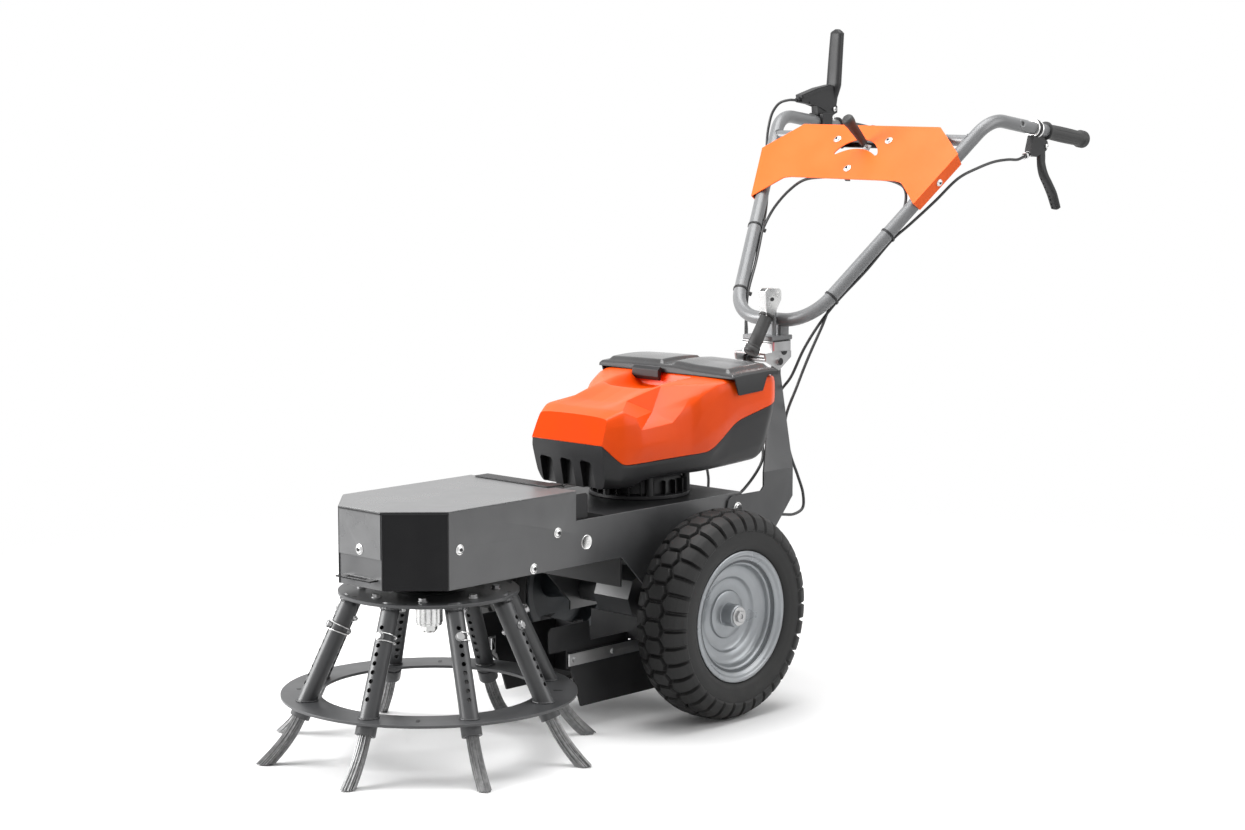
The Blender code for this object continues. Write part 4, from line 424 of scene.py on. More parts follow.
def surface(name, colour, second, roughness, metallic, patch=14.0, grain=700.0, bump=0.05, depth=0.0003,
            rough_spread=0.08, coat=0.0, specular=0.5, dust=0.0, dust_reach=0.25):
    """A Principled material: two mottled colours, roughness that follows them, and a fine grain."""
    material = bpy.data.materials.new(name)
    material.use_nodes = True
    tree = material.node_tree
    shader = preset(tree.nodes["Principled BSDF"], {"Metallic": metallic, "Specular IOR Level": specular,
                                                    "Coat Weight": coat, "Coat Roughness": 0.15})
    place = new_node(tree, "TexCoord")
    patches = new_node(tree, "Group", node_tree=MOTTLE, values={
        "Scale": patch, "Colour A": (*colour, 1.0), "Colour B": (*second, 1.0)})
    fine = new_node(tree, "Group", {"Scale": grain}, node_tree=GRAIN)
    rough = new_node(tree, "MapRange", {"To Min": roughness - rough_spread / 2,
                                        "To Max": roughness + rough_spread / 2})
    relief = new_node(tree, "Bump", {"Strength": bump, "Distance": depth})
    wire(tree, (place, "Object", patches, "Vector"), (patches, "Mask", rough, "Value"),
         (rough, "Result", shader, "Roughness"), (place, "Object", fine, "Vector"),
         (fine, "Height", relief, "Height"), (relief, "Normal", shader, "Normal"))
    if dust:
        laid = new_node(tree, "Group", {"Dust": DUST_COLOUR, "Reach": dust_reach, "Amount": dust},
                        node_tree=DUST)
        wire(tree, (place, "Object", laid, "Vector"), (patches, "Colour", laid, "Colour"),
             (laid, "Colour", shader, "Base Color"))
    else:
        wire(tree, (patches, "Colour", shader, "Base Color"))
    return material


# Each finish: its two mottled colours, its mean roughness, how metallic it is, and the rest for surface().
FINISHES = {
    "dark_paint": ((0.052, 0.053, 0.055), (0.064, 0.065, 0.067), 0.34, 0.0,
        dict(grain=900, bump=0.10, depth=0.0002, specular=0.9)),
    # Painted light: a lighter copy of the arm's paint for the top cover, for the light falling on its top.
    "cover_painted_light": ((0.105, 0.106, 0.108), (0.120, 0.121, 0.123), 0.30, 0.0,
        dict(grain=900, bump=0.05, depth=0.0002, specular=0.9)),
    # Painted shade: a glossy black for the dark reflection on the front wall's slanting faces and tongue.
    "front_painted_shade": ((0.006, 0.006, 0.007), (0.009, 0.009, 0.010), 0.22, 0.0,
        dict(grain=900, bump=0.03, depth=0.0001, specular=0.22)),
    # Painted shade: a darker, less glossy copy of the arm's paint, for the shade under the disc on the legs;
    # the gearbox, cheeks, disc, ring and welds take it too.
    "leg_paint": ((0.040, 0.041, 0.043), (0.052, 0.053, 0.055), 0.38, 0.0,
        dict(grain=900, bump=0.08, depth=0.0002, specular=0.55)),
    "black_paint": ((0.009, 0.009, 0.010), (0.014, 0.014, 0.015), 0.42, 0.0,
        dict(grain=800, bump=0.12, depth=0.0002, specular=0.35)),
    "orange_paint": ((0.90, 0.118, 0.010), (0.93, 0.128, 0.014), 0.40, 0.0,
        dict(grain=900, bump=0.06, depth=0.0002, specular=0.35)),
    "orange_plastic": ((0.86, 0.072, 0.001), (0.89, 0.080, 0.002), 0.34, 0.0,
        dict(grain=1600, bump=0.03, depth=0.00015, specular=0.25)),
    # Painted shade: a deeper orange with almost no sheen for the front faces of the cover's nose.
    "nose_painted_shade": ((0.56, 0.041, 0.0005), (0.59, 0.046, 0.001), 0.52, 0.0,
        dict(grain=1600, bump=0.03, depth=0.00015, specular=0.02)),
    "black_plastic": ((0.012, 0.012, 0.013), (0.018, 0.018, 0.019), 0.44, 0.0,
        dict(grain=1500, bump=0.20, depth=0.0002, specular=0.35)),
    "lid_plastic": ((0.024, 0.024, 0.025), (0.032, 0.032, 0.033), 0.27, 0.0,
        dict(grain=1500, bump=0.03, depth=0.0001, coat=0.35)),
    # Painted shade: a darker, duller copy of the lid's plastic for its faces that don't look up.
    "lid_painted_shade": ((0.016, 0.016, 0.017), (0.022, 0.022, 0.023), 0.42, 0.0,
        dict(grain=1500, bump=0.03, depth=0.0001, specular=0.25)),
    "zinc": ((0.34, 0.34, 0.345), (0.46, 0.46, 0.46), 0.36, 1.0,
        dict(patch=14, grain=500, bump=0.0, depth=0.0001, rough_spread=0.10)),
    "bright_zinc": ((0.62, 0.62, 0.62), (0.76, 0.76, 0.75), 0.26, 1.0,
        dict(patch=30, grain=500, bump=0.0, depth=0.0001, rough_spread=0.08)),
    "cable_sheath": ((0.020, 0.020, 0.021), (0.028, 0.028, 0.029), 0.36, 0.0,
        dict(patch=60, grain=1500, bump=0.15, depth=0.0001)),
    "pad_paint": ((0.55, 0.16, 0.18), (0.60, 0.20, 0.22), 0.5, 0.0, dict()),
    "tube_paint": ((0.165, 0.168, 0.172), (0.190, 0.193, 0.197), 0.36, 0.2,
        dict(grain=500, bump=0.0, depth=0.0001)),
    "rim_paint": ((0.26, 0.274, 0.288), (0.30, 0.315, 0.330), 0.30, 0.45,
        dict(grain=1100, bump=0.12, depth=0.0002, dust=0.25, dust_reach=0.2)),
    # Painted shade: a dark blue-grey for the wheels' inner sides, which lie in shadow.
    "rim_painted_shade": ((0.050, 0.056, 0.062), (0.062, 0.068, 0.074), 0.42, 0.1,
        dict(grain=1100, bump=0.05, depth=0.0002, specular=0.35)),
    "tyre_rubber": ((0.008, 0.008, 0.008), (0.013, 0.013, 0.013), 0.60, 0.0,
        dict(patch=30, grain=420, bump=0.30, depth=0.0003, dust=0.04, dust_reach=0.12, specular=0.35)),
    "grip_rubber": ((0.018, 0.018, 0.018), (0.026, 0.026, 0.026), 0.55, 0.0,
        dict(patch=60, grain=1300, bump=0.45, depth=0.0003)),
    "brush_wire": ((0.17, 0.17, 0.172), (0.27, 0.27, 0.27), 0.46, 0.5,
        dict(patch=120, grain=900, bump=0.03, depth=0.0001)),
}
MATERIALS = {name: surface(name, *row, **rest) for name, (*row, rest) in FINISHES.items()}

# The nodes that don't look like the slot they have in the record.
# Painted light: the top cover takes the lighter copy of the arm's paint.
# Painted shade: the gearbox and the column cheeks take the darker copy of the arm's paint.
# Painted shade: the motor deck is painted black for the shade under the power unit.
OTHER_FINISH = {
    "top_cover": "cover_painted_light", "motor_deck": "black_paint", "guard_frame": "black_paint",
    "cross_wall": "black_paint", "gearbox": "leg_paint", "clamp_plate": "tube_paint",
    "left_column_cheek": "leg_paint", "right_column_cheek": "leg_paint",
}


def dress_frame():
    """Give every carried-over CAD node the finish of its slot."""
    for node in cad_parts.values():
        for place in node.material_slots:
            slot = place.material.name.split(".")[0]
            place.material = MATERIALS[slot]


def repaint(piece, finish, chosen):
    """Give those faces of a piece that a rule picks another finish."""
    mesh = bpy.data.objects[piece].data
    mesh.materials.append(MATERIALS[finish])
    for face in mesh.polygons:
        if chosen(face):
            face.material_index = 1


def softened(node, body, width=0.0006):
    """A copy of a CAD node with its triangles joined into flat faces and its edges broken."""
    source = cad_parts[node]
    slot = OTHER_FINISH.get(node, source.material_slots[0].material.name.split(".")[0])
    bm = bmesh.new()
    bm.from_mesh(source.data)
    bmesh.ops.remove_doubles(bm, verts=bm.verts, dist=2e-6)
    bmesh.ops.dissolve_limit(bm, angle_limit=math.radians(0.5), verts=bm.verts, edges=bm.edges)
    mesh = bpy.data.meshes.new(node)
    bm.to_mesh(mesh)
    bm.free()
    if node == "guard_frame":
        mesh = carved(mesh, [box_mesh((-0.140, AXLE_Y - 0.135, 0.165), (0.002, AXLE_Y - 0.040, 0.240))])
    finished("soft_" + node, mesh, body, slot, (node,), 30, width, in_frame=True)


def repaint_faces():
    """Faces that stand out from their piece in tone.

    The front wall's slanting faces and tongue are glossy black, painted shade for the dark reflection on
    them. The wheels' inner sides are painted a dark blue-grey shade. The lid is painted duller and darker
    where it doesn't look up, and the band across the cover's nose a deeper, less glossy orange, both as
    painted shade.
    """
    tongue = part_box("front_wall")[0][1] + 0.0185
    # Painted shade: the front wall's slanting faces and tongue are glossy black for the dark reflection on
    # them.
    repaint("soft_front_wall", "front_painted_shade",
            lambda face: (abs(face.normal.x) > 0.35 and face.normal.y < -0.35) or face.center.y < tongue)
    # Painted shade: the faces on the wheels' inner sides take the dark blue-grey.
    repaint("left_rim_skin", "rim_painted_shade", lambda face: face.normal.x < -0.02)
    repaint("right_rim_skin", "rim_painted_shade", lambda face: face.normal.x > 0.02)
    # Painted shade: the lid's faces that don't look up take the darker, duller plastic.
    repaint("lid_shell", "lid_painted_shade", lambda face: face.normal.z < 0.55)
    # Painted shade: the faces across the cover's nose take the deeper, less glossy orange.
    nose = min(corner.co.y for corner in bpy.data.objects["cover_shell"].data.vertices) + 0.06
    repaint("cover_shell", "nose_painted_shade", lambda face: face.normal.y < -0.85 and face.center.y < nose)


def button_head(place, axis, radius=0.0080, height=0.0042):
    """A domed screw head on its flat washer, and a black cap on it, painted shade for the recess of its
    socket.
    """
    dome = [(-0.0004, 0.0), (-0.0004, radius * 1.10), (0.0010, radius * 1.10), (0.0012, radius * 1.04),
            (0.0010, radius * 0.90), (0.0012, radius * 0.86)]
    for share in np.linspace(0.15, 0.92, 7):
        rise = math.sin(share * math.pi / 2)
        dome.append((0.0012 + (height - 0.0012) * rise, radius * 0.86 * math.cos(share * math.pi / 2) ** 0.8))
    dome += [(height, radius * 0.36), (height, 0.0)]
    stand = onto(axis, place)
    socket = [(height - 0.001, 0.0), (height - 0.001, radius * 0.42), (height + 0.0003, radius * 0.42),
              (height + 0.0003, 0.0)]
    return placed(lathe(dome, 36), stand), placed(lathe(socket, 6), stand)


def screws(name, socket_name, body, spots, extra=()):
    """Screws and the black caps painted as the shade in their sockets, as two pieces; each spot is what
    button_head takes.
    """
    heads, sockets = zip(*[button_head(*spot) for spot in spots])
    finished(name, merged(*heads, *extra), body, "bright_zinc", (), 40)
    # Painted shade: black caps stand in for the shade in the screws' sockets.
    finished(socket_name, merged(*sockets), body, "black_paint", (), 30)


# Wheels

def tyre_profile():
    """The casing's half section from the centre line to the bead, as (offset across, radius) rows."""
    return np.array([
        (0.0, CROWN_RADIUS), (0.010, 0.1948), (0.020, 0.194), (0.028, 0.1925), (0.035, 0.190),
        (0.042, 0.1858), (0.048, 0.180), (0.0525, 0.1745), (0.0550, 0.168), (0.0560, 0.160),
        (0.0558, 0.150), (0.0540, 0.1400), (0.0515, 0.1330), (0.0490, 0.1300), (0.0475, 0.1288),
        (0.0465, 0.1285)])


def tyre():
    """The left tyre's outer skin: the casing's section turned about the axle and lifted by the tread.

    s is the distance round the crown within one lug's pitch p, and t the distance across the section.
    The centre blocks fill |t| < c - (c - b)|s| / (p / 2), with c the corner's and b the waist's distance
    across. The shoulder blocks lie outside that line and are split at s = 0. A block's height grows from 0
    to full over its wall, from the distance to the nearest of these lines, and fades down the side wall.
    """
    half = tyre_profile()
    line = np.concatenate([half[::-1] * (-1, 1), half[1:]])
    reach = np.concatenate([[0.0], np.cumsum(np.linalg.norm(np.diff(line, axis=0), axis=1))])
    middle = reach[-1] / 2
    fine = np.linspace(-0.072, 0.072, 97)
    rest = np.linspace(0.078, middle, 9)
    across = np.concatenate([-rest[::-1], fine, rest])
    offset = np.interp(across + middle, reach, line[:, 0])
    radius = np.interp(across + middle, reach, line[:, 1])
    slope = np.stack([np.gradient(offset), np.gradient(radius)], axis=-1)
    slope /= np.linalg.norm(slope, axis=1, keepdims=True)
    normal = np.stack([-slope[:, 1], slope[:, 0]], axis=-1)
    columns = LUGS * 22
    turn = even_turn(columns)
    pitch = 2 * np.pi * CROWN_RADIUS / LUGS
    s = (turn * LUGS / (2 * np.pi) + 0.5) % 1.0 - 0.5
    s = (s * pitch)[:, None]
    t = np.abs(across)[None, :]
    corner, waist, groove, wall = 0.0235, 0.0150, 0.0023, 0.0016
    steep = (corner - waist) / (pitch / 2)
    outward = (t - (corner - steep * np.abs(s))) / math.sqrt(1 + steep ** 2)
    centre = np.minimum(-outward, pitch / 2 - np.abs(s))
    shoulder = np.minimum(outward, np.abs(s))
    gap = np.where(outward < 0, centre, shoulder)
    fade = np.interp(t, [0.0, 0.046, 0.056, 0.0668, 0.0688, 1.0], [1.0, 1.0, 0.72, 0.45, 0.0, 0.0])
    ridge = 0.0010 * np.exp(-((radius - 0.1365) / 0.0016) ** 2)
    lift = TREAD_DEPTH * smooth_rise(gap, groove, wall) * fade + ridge[None, :]
    bead = np.array([(0.0440, 0.1270), (0.0390, 0.1045), (-0.0390, 0.1045), (-0.0440, 0.1270)])
    x, r = (np.concatenate([base + normal[:, axis] * lift, np.tile(bead[:, axis], (columns, 1))], axis=1)
            for axis, base in enumerate((offset, radius)))
    grid = np.stack([WHEEL_X + x, r * np.sin(turn)[:, None], WHEEL_Z - r * np.cos(turn)[:, None]], axis=-1)
    return skin(np.concatenate([grid, grid[:1]]))


def rim_section():
    """The rim's section as (offset across, radius) rows, from the hub's face round to the shaft.

    front holds depths behind the outer edge, and back holds distances in from the inner edge.
    """
    edge = 0.0497
    front = [
        (0.0080, 0.0), (0.0080, 0.0195), (0.0095, 0.0215), (0.0115, 0.0220), (0.0340, 0.0220),
        (0.0352, 0.0232), (0.0352, 0.0440), (0.0362, 0.0456), (0.0385, 0.0462), (0.0400, 0.0475),
        (0.0408, 0.0560), (0.0400, 0.0680), (0.0375, 0.0715), (0.0335, 0.0730), (0.0318, 0.0750),
        (0.0305, 0.0860), (0.0290, 0.0930), (0.0262, 0.0965), (0.0225, 0.0982), (0.0190, 0.0990),
        (0.0165, 0.1004), (0.0150, 0.1040), (0.0138, 0.1066), (0.0115, 0.1078), (0.0085, 0.1088),
        (0.0068, 0.1105), (0.0058, 0.1140), (0.0045, 0.1162), (0.0020, 0.1178), (0.0004, 0.1198),
        (0.0, 0.1225), (0.0002, 0.1255), (0.0012, 0.1272), (0.0026, 0.1272), (0.0034, 0.1262),
        (0.0060, 0.1180), (0.0100, 0.1060), (0.0110, 0.1036)]
    back = [(0.0110, 0.1036), (0.0060, 0.1180), (0.0034, 0.1262), (0.0026, 0.1272), (0.0012, 0.1272),
            (0.0002, 0.1255), (0.0, 0.1225), (0.0030, 0.1165), (0.0090, 0.1010)]
    web = [
        (-0.0050, 0.0990), (-0.0030, 0.0880), (edge - 0.0440, 0.0720), (edge - 0.0450, 0.0560),
        (edge - 0.0450, 0.0320), (-0.0330, 0.0260), (-0.0360, 0.0240), (-0.0530, 0.0240),
        (-0.0530, 0.0126), (0.0060 - WHEEL_X, 0.0124), (0.0050 - WHEEL_X, 0.0)]
    return ([(edge - depth, radius) for depth, radius in front] + [(0.0, 0.1036)]
            + [(depth - edge, radius) for depth, radius in back] + web)


def wheels():
    """Both tyres and rims; the right ones are the left ones mirrored."""
    stand = onto((1, 0, 0), (WHEEL_X, 0, WHEEL_Z))
    hub = [(0.0417, 0.0), (0.0417, 0.0180), (0.0437, 0.0185), (0.0445, 0.0178), (0.0445, 0.0)]
    cap = [(0.0440, 0.0), (0.0440, 0.0120), (0.0486, 0.0120), (0.0496, 0.0112), (0.0496, 0.0052),
           (0.0470, 0.0045), (0.0470, 0.0)]
    rim = placed(lathe(rim_section(), 96), stand)
    washer = placed(lathe(hub, 48), stand)
    nut = placed(lathe(cap, 6), stand @ Matrix.Rotation(0.3, 4, "Z"))
    rubber = tyre()
    for name, flip in SIDES:
        body = name + "_wheel"
        finished(name + "_tyre_skin", placed(rubber, flip), body, "tyre_rubber", (name + "_tyre",), 40)
        finished(name + "_rim_skin", placed(rim, flip), body, "rim_paint", (name + "_rim",), 38)
        finished(name + "_hub_washer", placed(washer, flip), body, "zinc", (), 30, 0.0004)
        finished(name + "_hub_bolt", placed(nut, flip), body, "zinc", (), 25, 0.0006)


# Brush

def leg_place(height):
    """A leg line's distance from the brush axis at a height."""
    return LEG_ROOT_RADIUS + (LEG_ROOT_Z - height) * LEG_SLOPE


def leg_turn(leg):
    """The matrix that turns a shape drawn on the +X leg to one of the eight legs."""
    return Matrix.Translation((0, BRUSH_Y, 0)) @ Matrix.Rotation(math.radians(LEG_ANGLES[leg]), 4, "Z")


LEG_DOWN = Vector((LEG_SLOPE, 0, -1)).normalized()


def leg_frame(height):
    """The matrix whose Z runs down a leg's tube and whose X points to its outer side, at a height."""
    out = Vector((1, 0, LEG_SLOPE)).normalized()
    side = LEG_DOWN.cross(out)
    turn = Matrix((out, side, LEG_DOWN)).transposed().to_4x4()
    return Matrix.Translation((leg_place(height), 0, height)) @ turn


def hole_frame(height):
    """The matrix whose Z runs through a leg's tube along its locking hole at a height."""
    return leg_frame(height) @ Matrix.Rotation(HOLE_TURN, 4, "Z") @ Matrix.Rotation(math.pi / 2, 4, "Y")


def leg_mesh():
    """One leg: a tube with a row of through holes and a collar at its mouth, cut level under the disc."""
    top, mouth = 0.2952, 0.0820
    start = leg_frame(top + 0.02)
    length = (mouth - top - 0.02) / LEG_DOWN.z
    inner = 0.01315
    collar = length - 0.0230
    section = [(0.0, inner), (0.0, LEG_RADIUS), (collar - 0.001, LEG_RADIUS), (collar, 0.0186),
               (length - 0.0010, 0.0186), (length, 0.0180), (length, inner)]
    section.append(section[0])
    tube = mesh_of("leg", placed(lathe(section, 40), start))
    above = mesh_of("above", block((0.05, -0.05), (0.25, 0.05), top, top + 0.08))
    drills = [placed(rod(-0.03, 0.03, 0.0042, 18), hole_frame(height)) for height in HOLE_HEIGHTS]
    return carved(tube, [above, mesh_of("drills", merged(*drills))])


def strand_bundle():
    """A bundle of wires: each strand keeps its place in a sunflower spread along one bent line.

    The middle line is a quadratic from the tube's mouth to the ground; strand k stands off it by
    R sqrt(k / n) at the golden angle, opens out a little towards the tip, and is cut near the ground.
    One more ring of points carries each strand up inside the tube.
    """
    rings, corners = 9, 5
    share = np.linspace(0.0, 1.0, rings)
    start = np.array([leg_place(0.094), 0.0, 0.094])
    bend = np.array([leg_place(0.0400), 0.0, 0.0400])
    tip = np.array([0.3115, 0.0, 0.0])
    middle = (start * ((1 - share) ** 2)[:, None] + bend * (2 * share * (1 - share))[:, None]
              + tip * (share ** 2)[:, None])
    along = np.gradient(middle, axis=0)
    along /= np.linalg.norm(along, axis=1, keepdims=True)
    side = np.array([0.0, 1.0, 0.0])
    out = np.cross(side, along)
    k = np.arange(STRANDS)
    golden = np.pi * (3 - math.sqrt(5))
    spread = 0.0106 * np.sqrt((k + 0.5) / STRANDS)
    turn = golden * k
    grow = 1.0 + 0.10 * share[None, :] * (1 + np.sin(k * 2.4)[:, None] * 0.5)
    sway = 0.0006 * np.sin(share[None, :] * 5 + k[:, None] * 1.7) * share[None, :]
    u = (spread * np.cos(turn))[:, None] * grow + sway
    v = (spread * np.sin(turn))[:, None] * grow + sway * 0.7
    centre = middle[None] + out[None] * u[:, :, None] + side * v[:, :, None]
    end = 0.0004 + 0.0030 * ((k * 0.618034) % 1.0)
    drop = (centre[:, -1, 2] - end) / along[-1, 2]
    centre[:, -1] -= along[-1] * drop[:, None]
    inside = np.array([leg_place(0.185) - leg_place(0.094), 0.0, 0.091])
    centre = np.concatenate([centre[:, :1] + inside, centre], axis=1)
    out = np.concatenate([out[:1], out])
    rings += 1
    angle = 2 * np.pi * np.arange(corners) / corners
    thick = 0.00135
    ring = (out[None, :, None] * np.cos(angle + 0.3)[None, None, :, None]
            + side * np.sin(angle + 0.3)[None, None, :, None]) * thick
    grid = centre[:, :, None] + ring
    index = np.arange(STRANDS * rings * corners).reshape(STRANDS, rings, corners)
    wrap = np.roll(index, -1, axis=2)
    quads = np.stack([index[:, :-1], wrap[:, :-1], wrap[:, 1:], index[:, 1:]], axis=-1).reshape(-1, 4)
    ends = np.concatenate([index[:, 0, ::-1], index[:, -1]])
    return grid.reshape(-1, 3), quads.tolist() + ends.tolist()


def pin_parts():
    """A leg's locking pin: hex head, washer, nut and the wire bow that runs round the tube."""
    at = hole_frame(HOLE_HEIGHTS[1])
    r = LEG_RADIUS
    head = lathe([(r + 0.0016, 0.0), (r + 0.0016, 0.0072), (r + 0.0062, 0.0072), (r + 0.0070, 0.0062),
                  (r + 0.0070, 0.0)], 6)
    washer = rod(r - 0.0012, r + 0.0017, 0.0082, 24)
    tail = lathe([(-r - 0.0075, 0.0), (-r - 0.0075, 0.0030), (-r - 0.0065, 0.0038), (-r + 0.0010, 0.0038),
                  (-r + 0.0010, 0.0)], 16)
    turn = np.linspace(0.0, np.pi, 17)
    reach = r + 0.0024 + 0.0022 * np.abs(np.cos(turn))
    wide = 0.0075 - 0.0030 * turn / np.pi
    near = np.stack([-wide, -reach * np.sin(turn), reach * np.cos(turn)], axis=-1)
    far = np.stack([wide, -reach * np.sin(turn), reach * np.cos(turn)], axis=-1)[::-1]
    hook = np.array([[-0.0022, 0.0022, -r - 0.0052], [0.0022, 0.0022, -r - 0.0052]])
    bow = carried(np.concatenate([near, hook, far]), circle(0.00115, 8), closed=True, up=(1, 0, 0.2))
    return placed(merged(head, washer, tail), at), placed(bow, at)


def disc_parts():
    """The brush disc, and the bolts with their washers on top of it."""
    disc = lathe([(0.2959, 0.0128), (0.2959, 0.1653), (0.2965, 0.1659), (0.3013, 0.1659), (0.3019, 0.1653),
                  (0.3019, 0.0700), (0.3029, 0.0685), (0.3029, 0.0128), (0.2959, 0.0128)], 96)
    bolts = []
    for leg in range(8):
        angle = math.radians(LEG_ANGLES[leg] + 22.5)
        at = Matrix.Translation((0.1230 * math.cos(angle), 0.1230 * math.sin(angle), 0.3019))
        bolts.append(placed(rod(-0.001, 0.0014, 0.0095, 24), at))
        bolts.append(placed(lathe([(0.001, 0.0), (0.001, 0.0078), (0.0060, 0.0078), (0.0068, 0.0068),
                                   (0.0068, 0.0)], 6), at @ Matrix.Rotation(leg * 0.7, 4, "Z")))
    return disc, merged(*bolts)


def weld_bead(height, radius, width=0.0028):
    """A rippled weld bead round a leg where it meets a level plate: an ellipse with small lumps."""
    turn = even_turn(72)
    stretch = 1 / math.cos(LEG_TILT)
    line = np.stack([leg_place(height) + radius * stretch * np.cos(turn), radius * np.sin(turn),
                     np.full_like(turn, height)], axis=-1)
    lumps = 1.0 + 0.16 * np.sin(turn * 18)
    path = np.concatenate([line, line[:1]])
    grow = np.concatenate([lumps, lumps[:1]])
    return carried(path, circle(width, 8), scale=grow)


def ring_mesh(here):
    """The flat ring, round all along, with an oval hole for each leg."""
    section = [(0.1067, 0.1991), (0.1067, 0.2717), (0.1073, 0.2723), (0.1111, 0.2723), (0.1117, 0.2717),
               (0.1117, 0.1997), (0.1111, 0.1991), (0.1067, 0.1991)]
    drill = placed(rod(-0.04, 0.04, 0.0171, 40), leg_frame(0.109))
    drills = [placed(drill, leg_turn(leg)) for leg in range(8)]
    return carved(mesh_of("ring", placed(lathe(section, 160), here)), [mesh_of("drills", merged(*drills))])


def brush():
    """The brush: eight legs with pins and wire bundles, disc, ring, hub and nut."""
    here = Matrix.Translation((0, BRUSH_Y, 0))
    leg = leg_mesh()
    strands = mesh_of("strands", strand_bundle(), 0.0)
    pin, bow = pin_parts()
    weld = merged(weld_bead(0.2945, LEG_RADIUS + 0.0005), weld_bead(0.1128, LEG_RADIUS + 0.0004, 0.0018))
    stub = [(-0.002, 0.0), (-0.002, LEG_RADIUS), (0.0145, LEG_RADIUS), (0.0155, LEG_RADIUS - 0.001),
            (0.0155, 0.0)]
    stub = placed(lathe(stub, 40), leg_frame(LEG_ROOT_Z))
    pins, bows, welds, stubs, plugs_and_hole_shades = [], [], [], [], []
    for index, angle in enumerate(LEG_ANGLES):
        turn = leg_turn(index)
        number = index + 1
        tube, wires = leg.copy(), strands.copy()
        tube.transform(turn)
        wires.transform(turn)
        # The legs take the darker copy of the arm's paint, painted shade for the shadow under the disc.
        finished("leg_%d" % number, tube, "brush", "leg_paint", ("leg_tube_%d" % number,), 35)
        finished("wires_%d" % number, wires, "bristles_%d" % number, "brush_wire",
                 ("bristle_bundle_%d" % number,), 60)
        for shapes, shape in ((pins, pin), (bows, bow), (welds, weld), (stubs, stub)):
            shapes.append(placed(shape, turn))
        # Painted shade: small black discs on the disc, for the shade in its holes.
        away = math.radians(angle + 11)
        spot = Matrix.Translation((0.1520 * math.cos(away), 0.1520 * math.sin(away), 0.3012))
        plugs_and_hole_shades.append(placed(placed(rod(0.0, 0.00085, 0.0045, 20), spot), here))
    finished("pins", merged(*pins), "brush", "zinc", (), 25, 0.0003)
    finished("pin_bows", merged(*bows), "brush", "bright_zinc")
    finished("leg_welds", merged(*welds), "brush", "leg_paint")
    disc, bolts = disc_parts()
    finished("disc_skin", placed(disc, here), "brush", "leg_paint", ("brush_disc",), 30)
    finished("leg_stubs", merged(*stubs), "brush", "leg_paint", (), 35)
    # Painted shade: the black discs stand for the shade in the disc's holes.
    finished("disc_holes", merged(*plugs_and_hole_shades), "brush", "black_paint", (), 35)
    finished("ring_skin", ring_mesh(here), "brush", "leg_paint", ("brush_ring",), 30)
    # Painted shade: thin black plates on the ring, for the shade in its slots.
    slot = prism([(0.2290, -0.0034), (0.2430, -0.0034), (0.2450, 0.0), (0.2430, 0.0034), (0.2290, 0.0034),
                  (0.2270, 0.0)], 0.1100, 0.1121)
    slots = [placed(slot, here @ Matrix.Rotation(math.radians(LEG_ANGLES[0] + 22.5 + 90 * turn), 4, "Z"))
             for turn in range(4)]
    finished("ring_slots", merged(*slots), "brush", "black_paint", (), 30)
    hub = [(0.2960, 0.0), (0.2960, 0.0255), (0.2400, 0.0255), (0.2385, 0.0240), (0.2350, 0.0240),
           (0.2340, 0.0228), (0.2340, 0.0)]
    finished("spindle_hub", placed(lathe(hub, 64), here), "brush", "bright_zinc", (), 30)
    castle = [(0.2345, 0.0), (0.2345, 0.0160), (0.2245, 0.0160), (0.2235, 0.0150), (0.2235, 0.0132),
              (0.2205, 0.0128), (0.2205, 0.0)]
    gap = block((0.004, -0.0020), (0.02, 0.0020), 0.2190, 0.2240)
    gaps = [placed(gap, here @ Matrix.Rotation(math.radians(60 * turn + 30), 4, "Z")) for turn in range(6)]
    castle = carved(mesh_of("castle", placed(lathe(castle, 6), here)), [mesh_of("gaps", merged(*gaps))])
    finished("castle_nut", castle, "brush", "bright_zinc", (), 25, 0.0004)
    finished("disc_bolts", placed(bolts, here), "brush", "zinc", (), 25, 0.0004)


# Power unit

# The casings are given by stations along the machine, in tenths of a millimetre. A row starts with y at its
# first point and y at its turning point, and then gives x and z of each point.

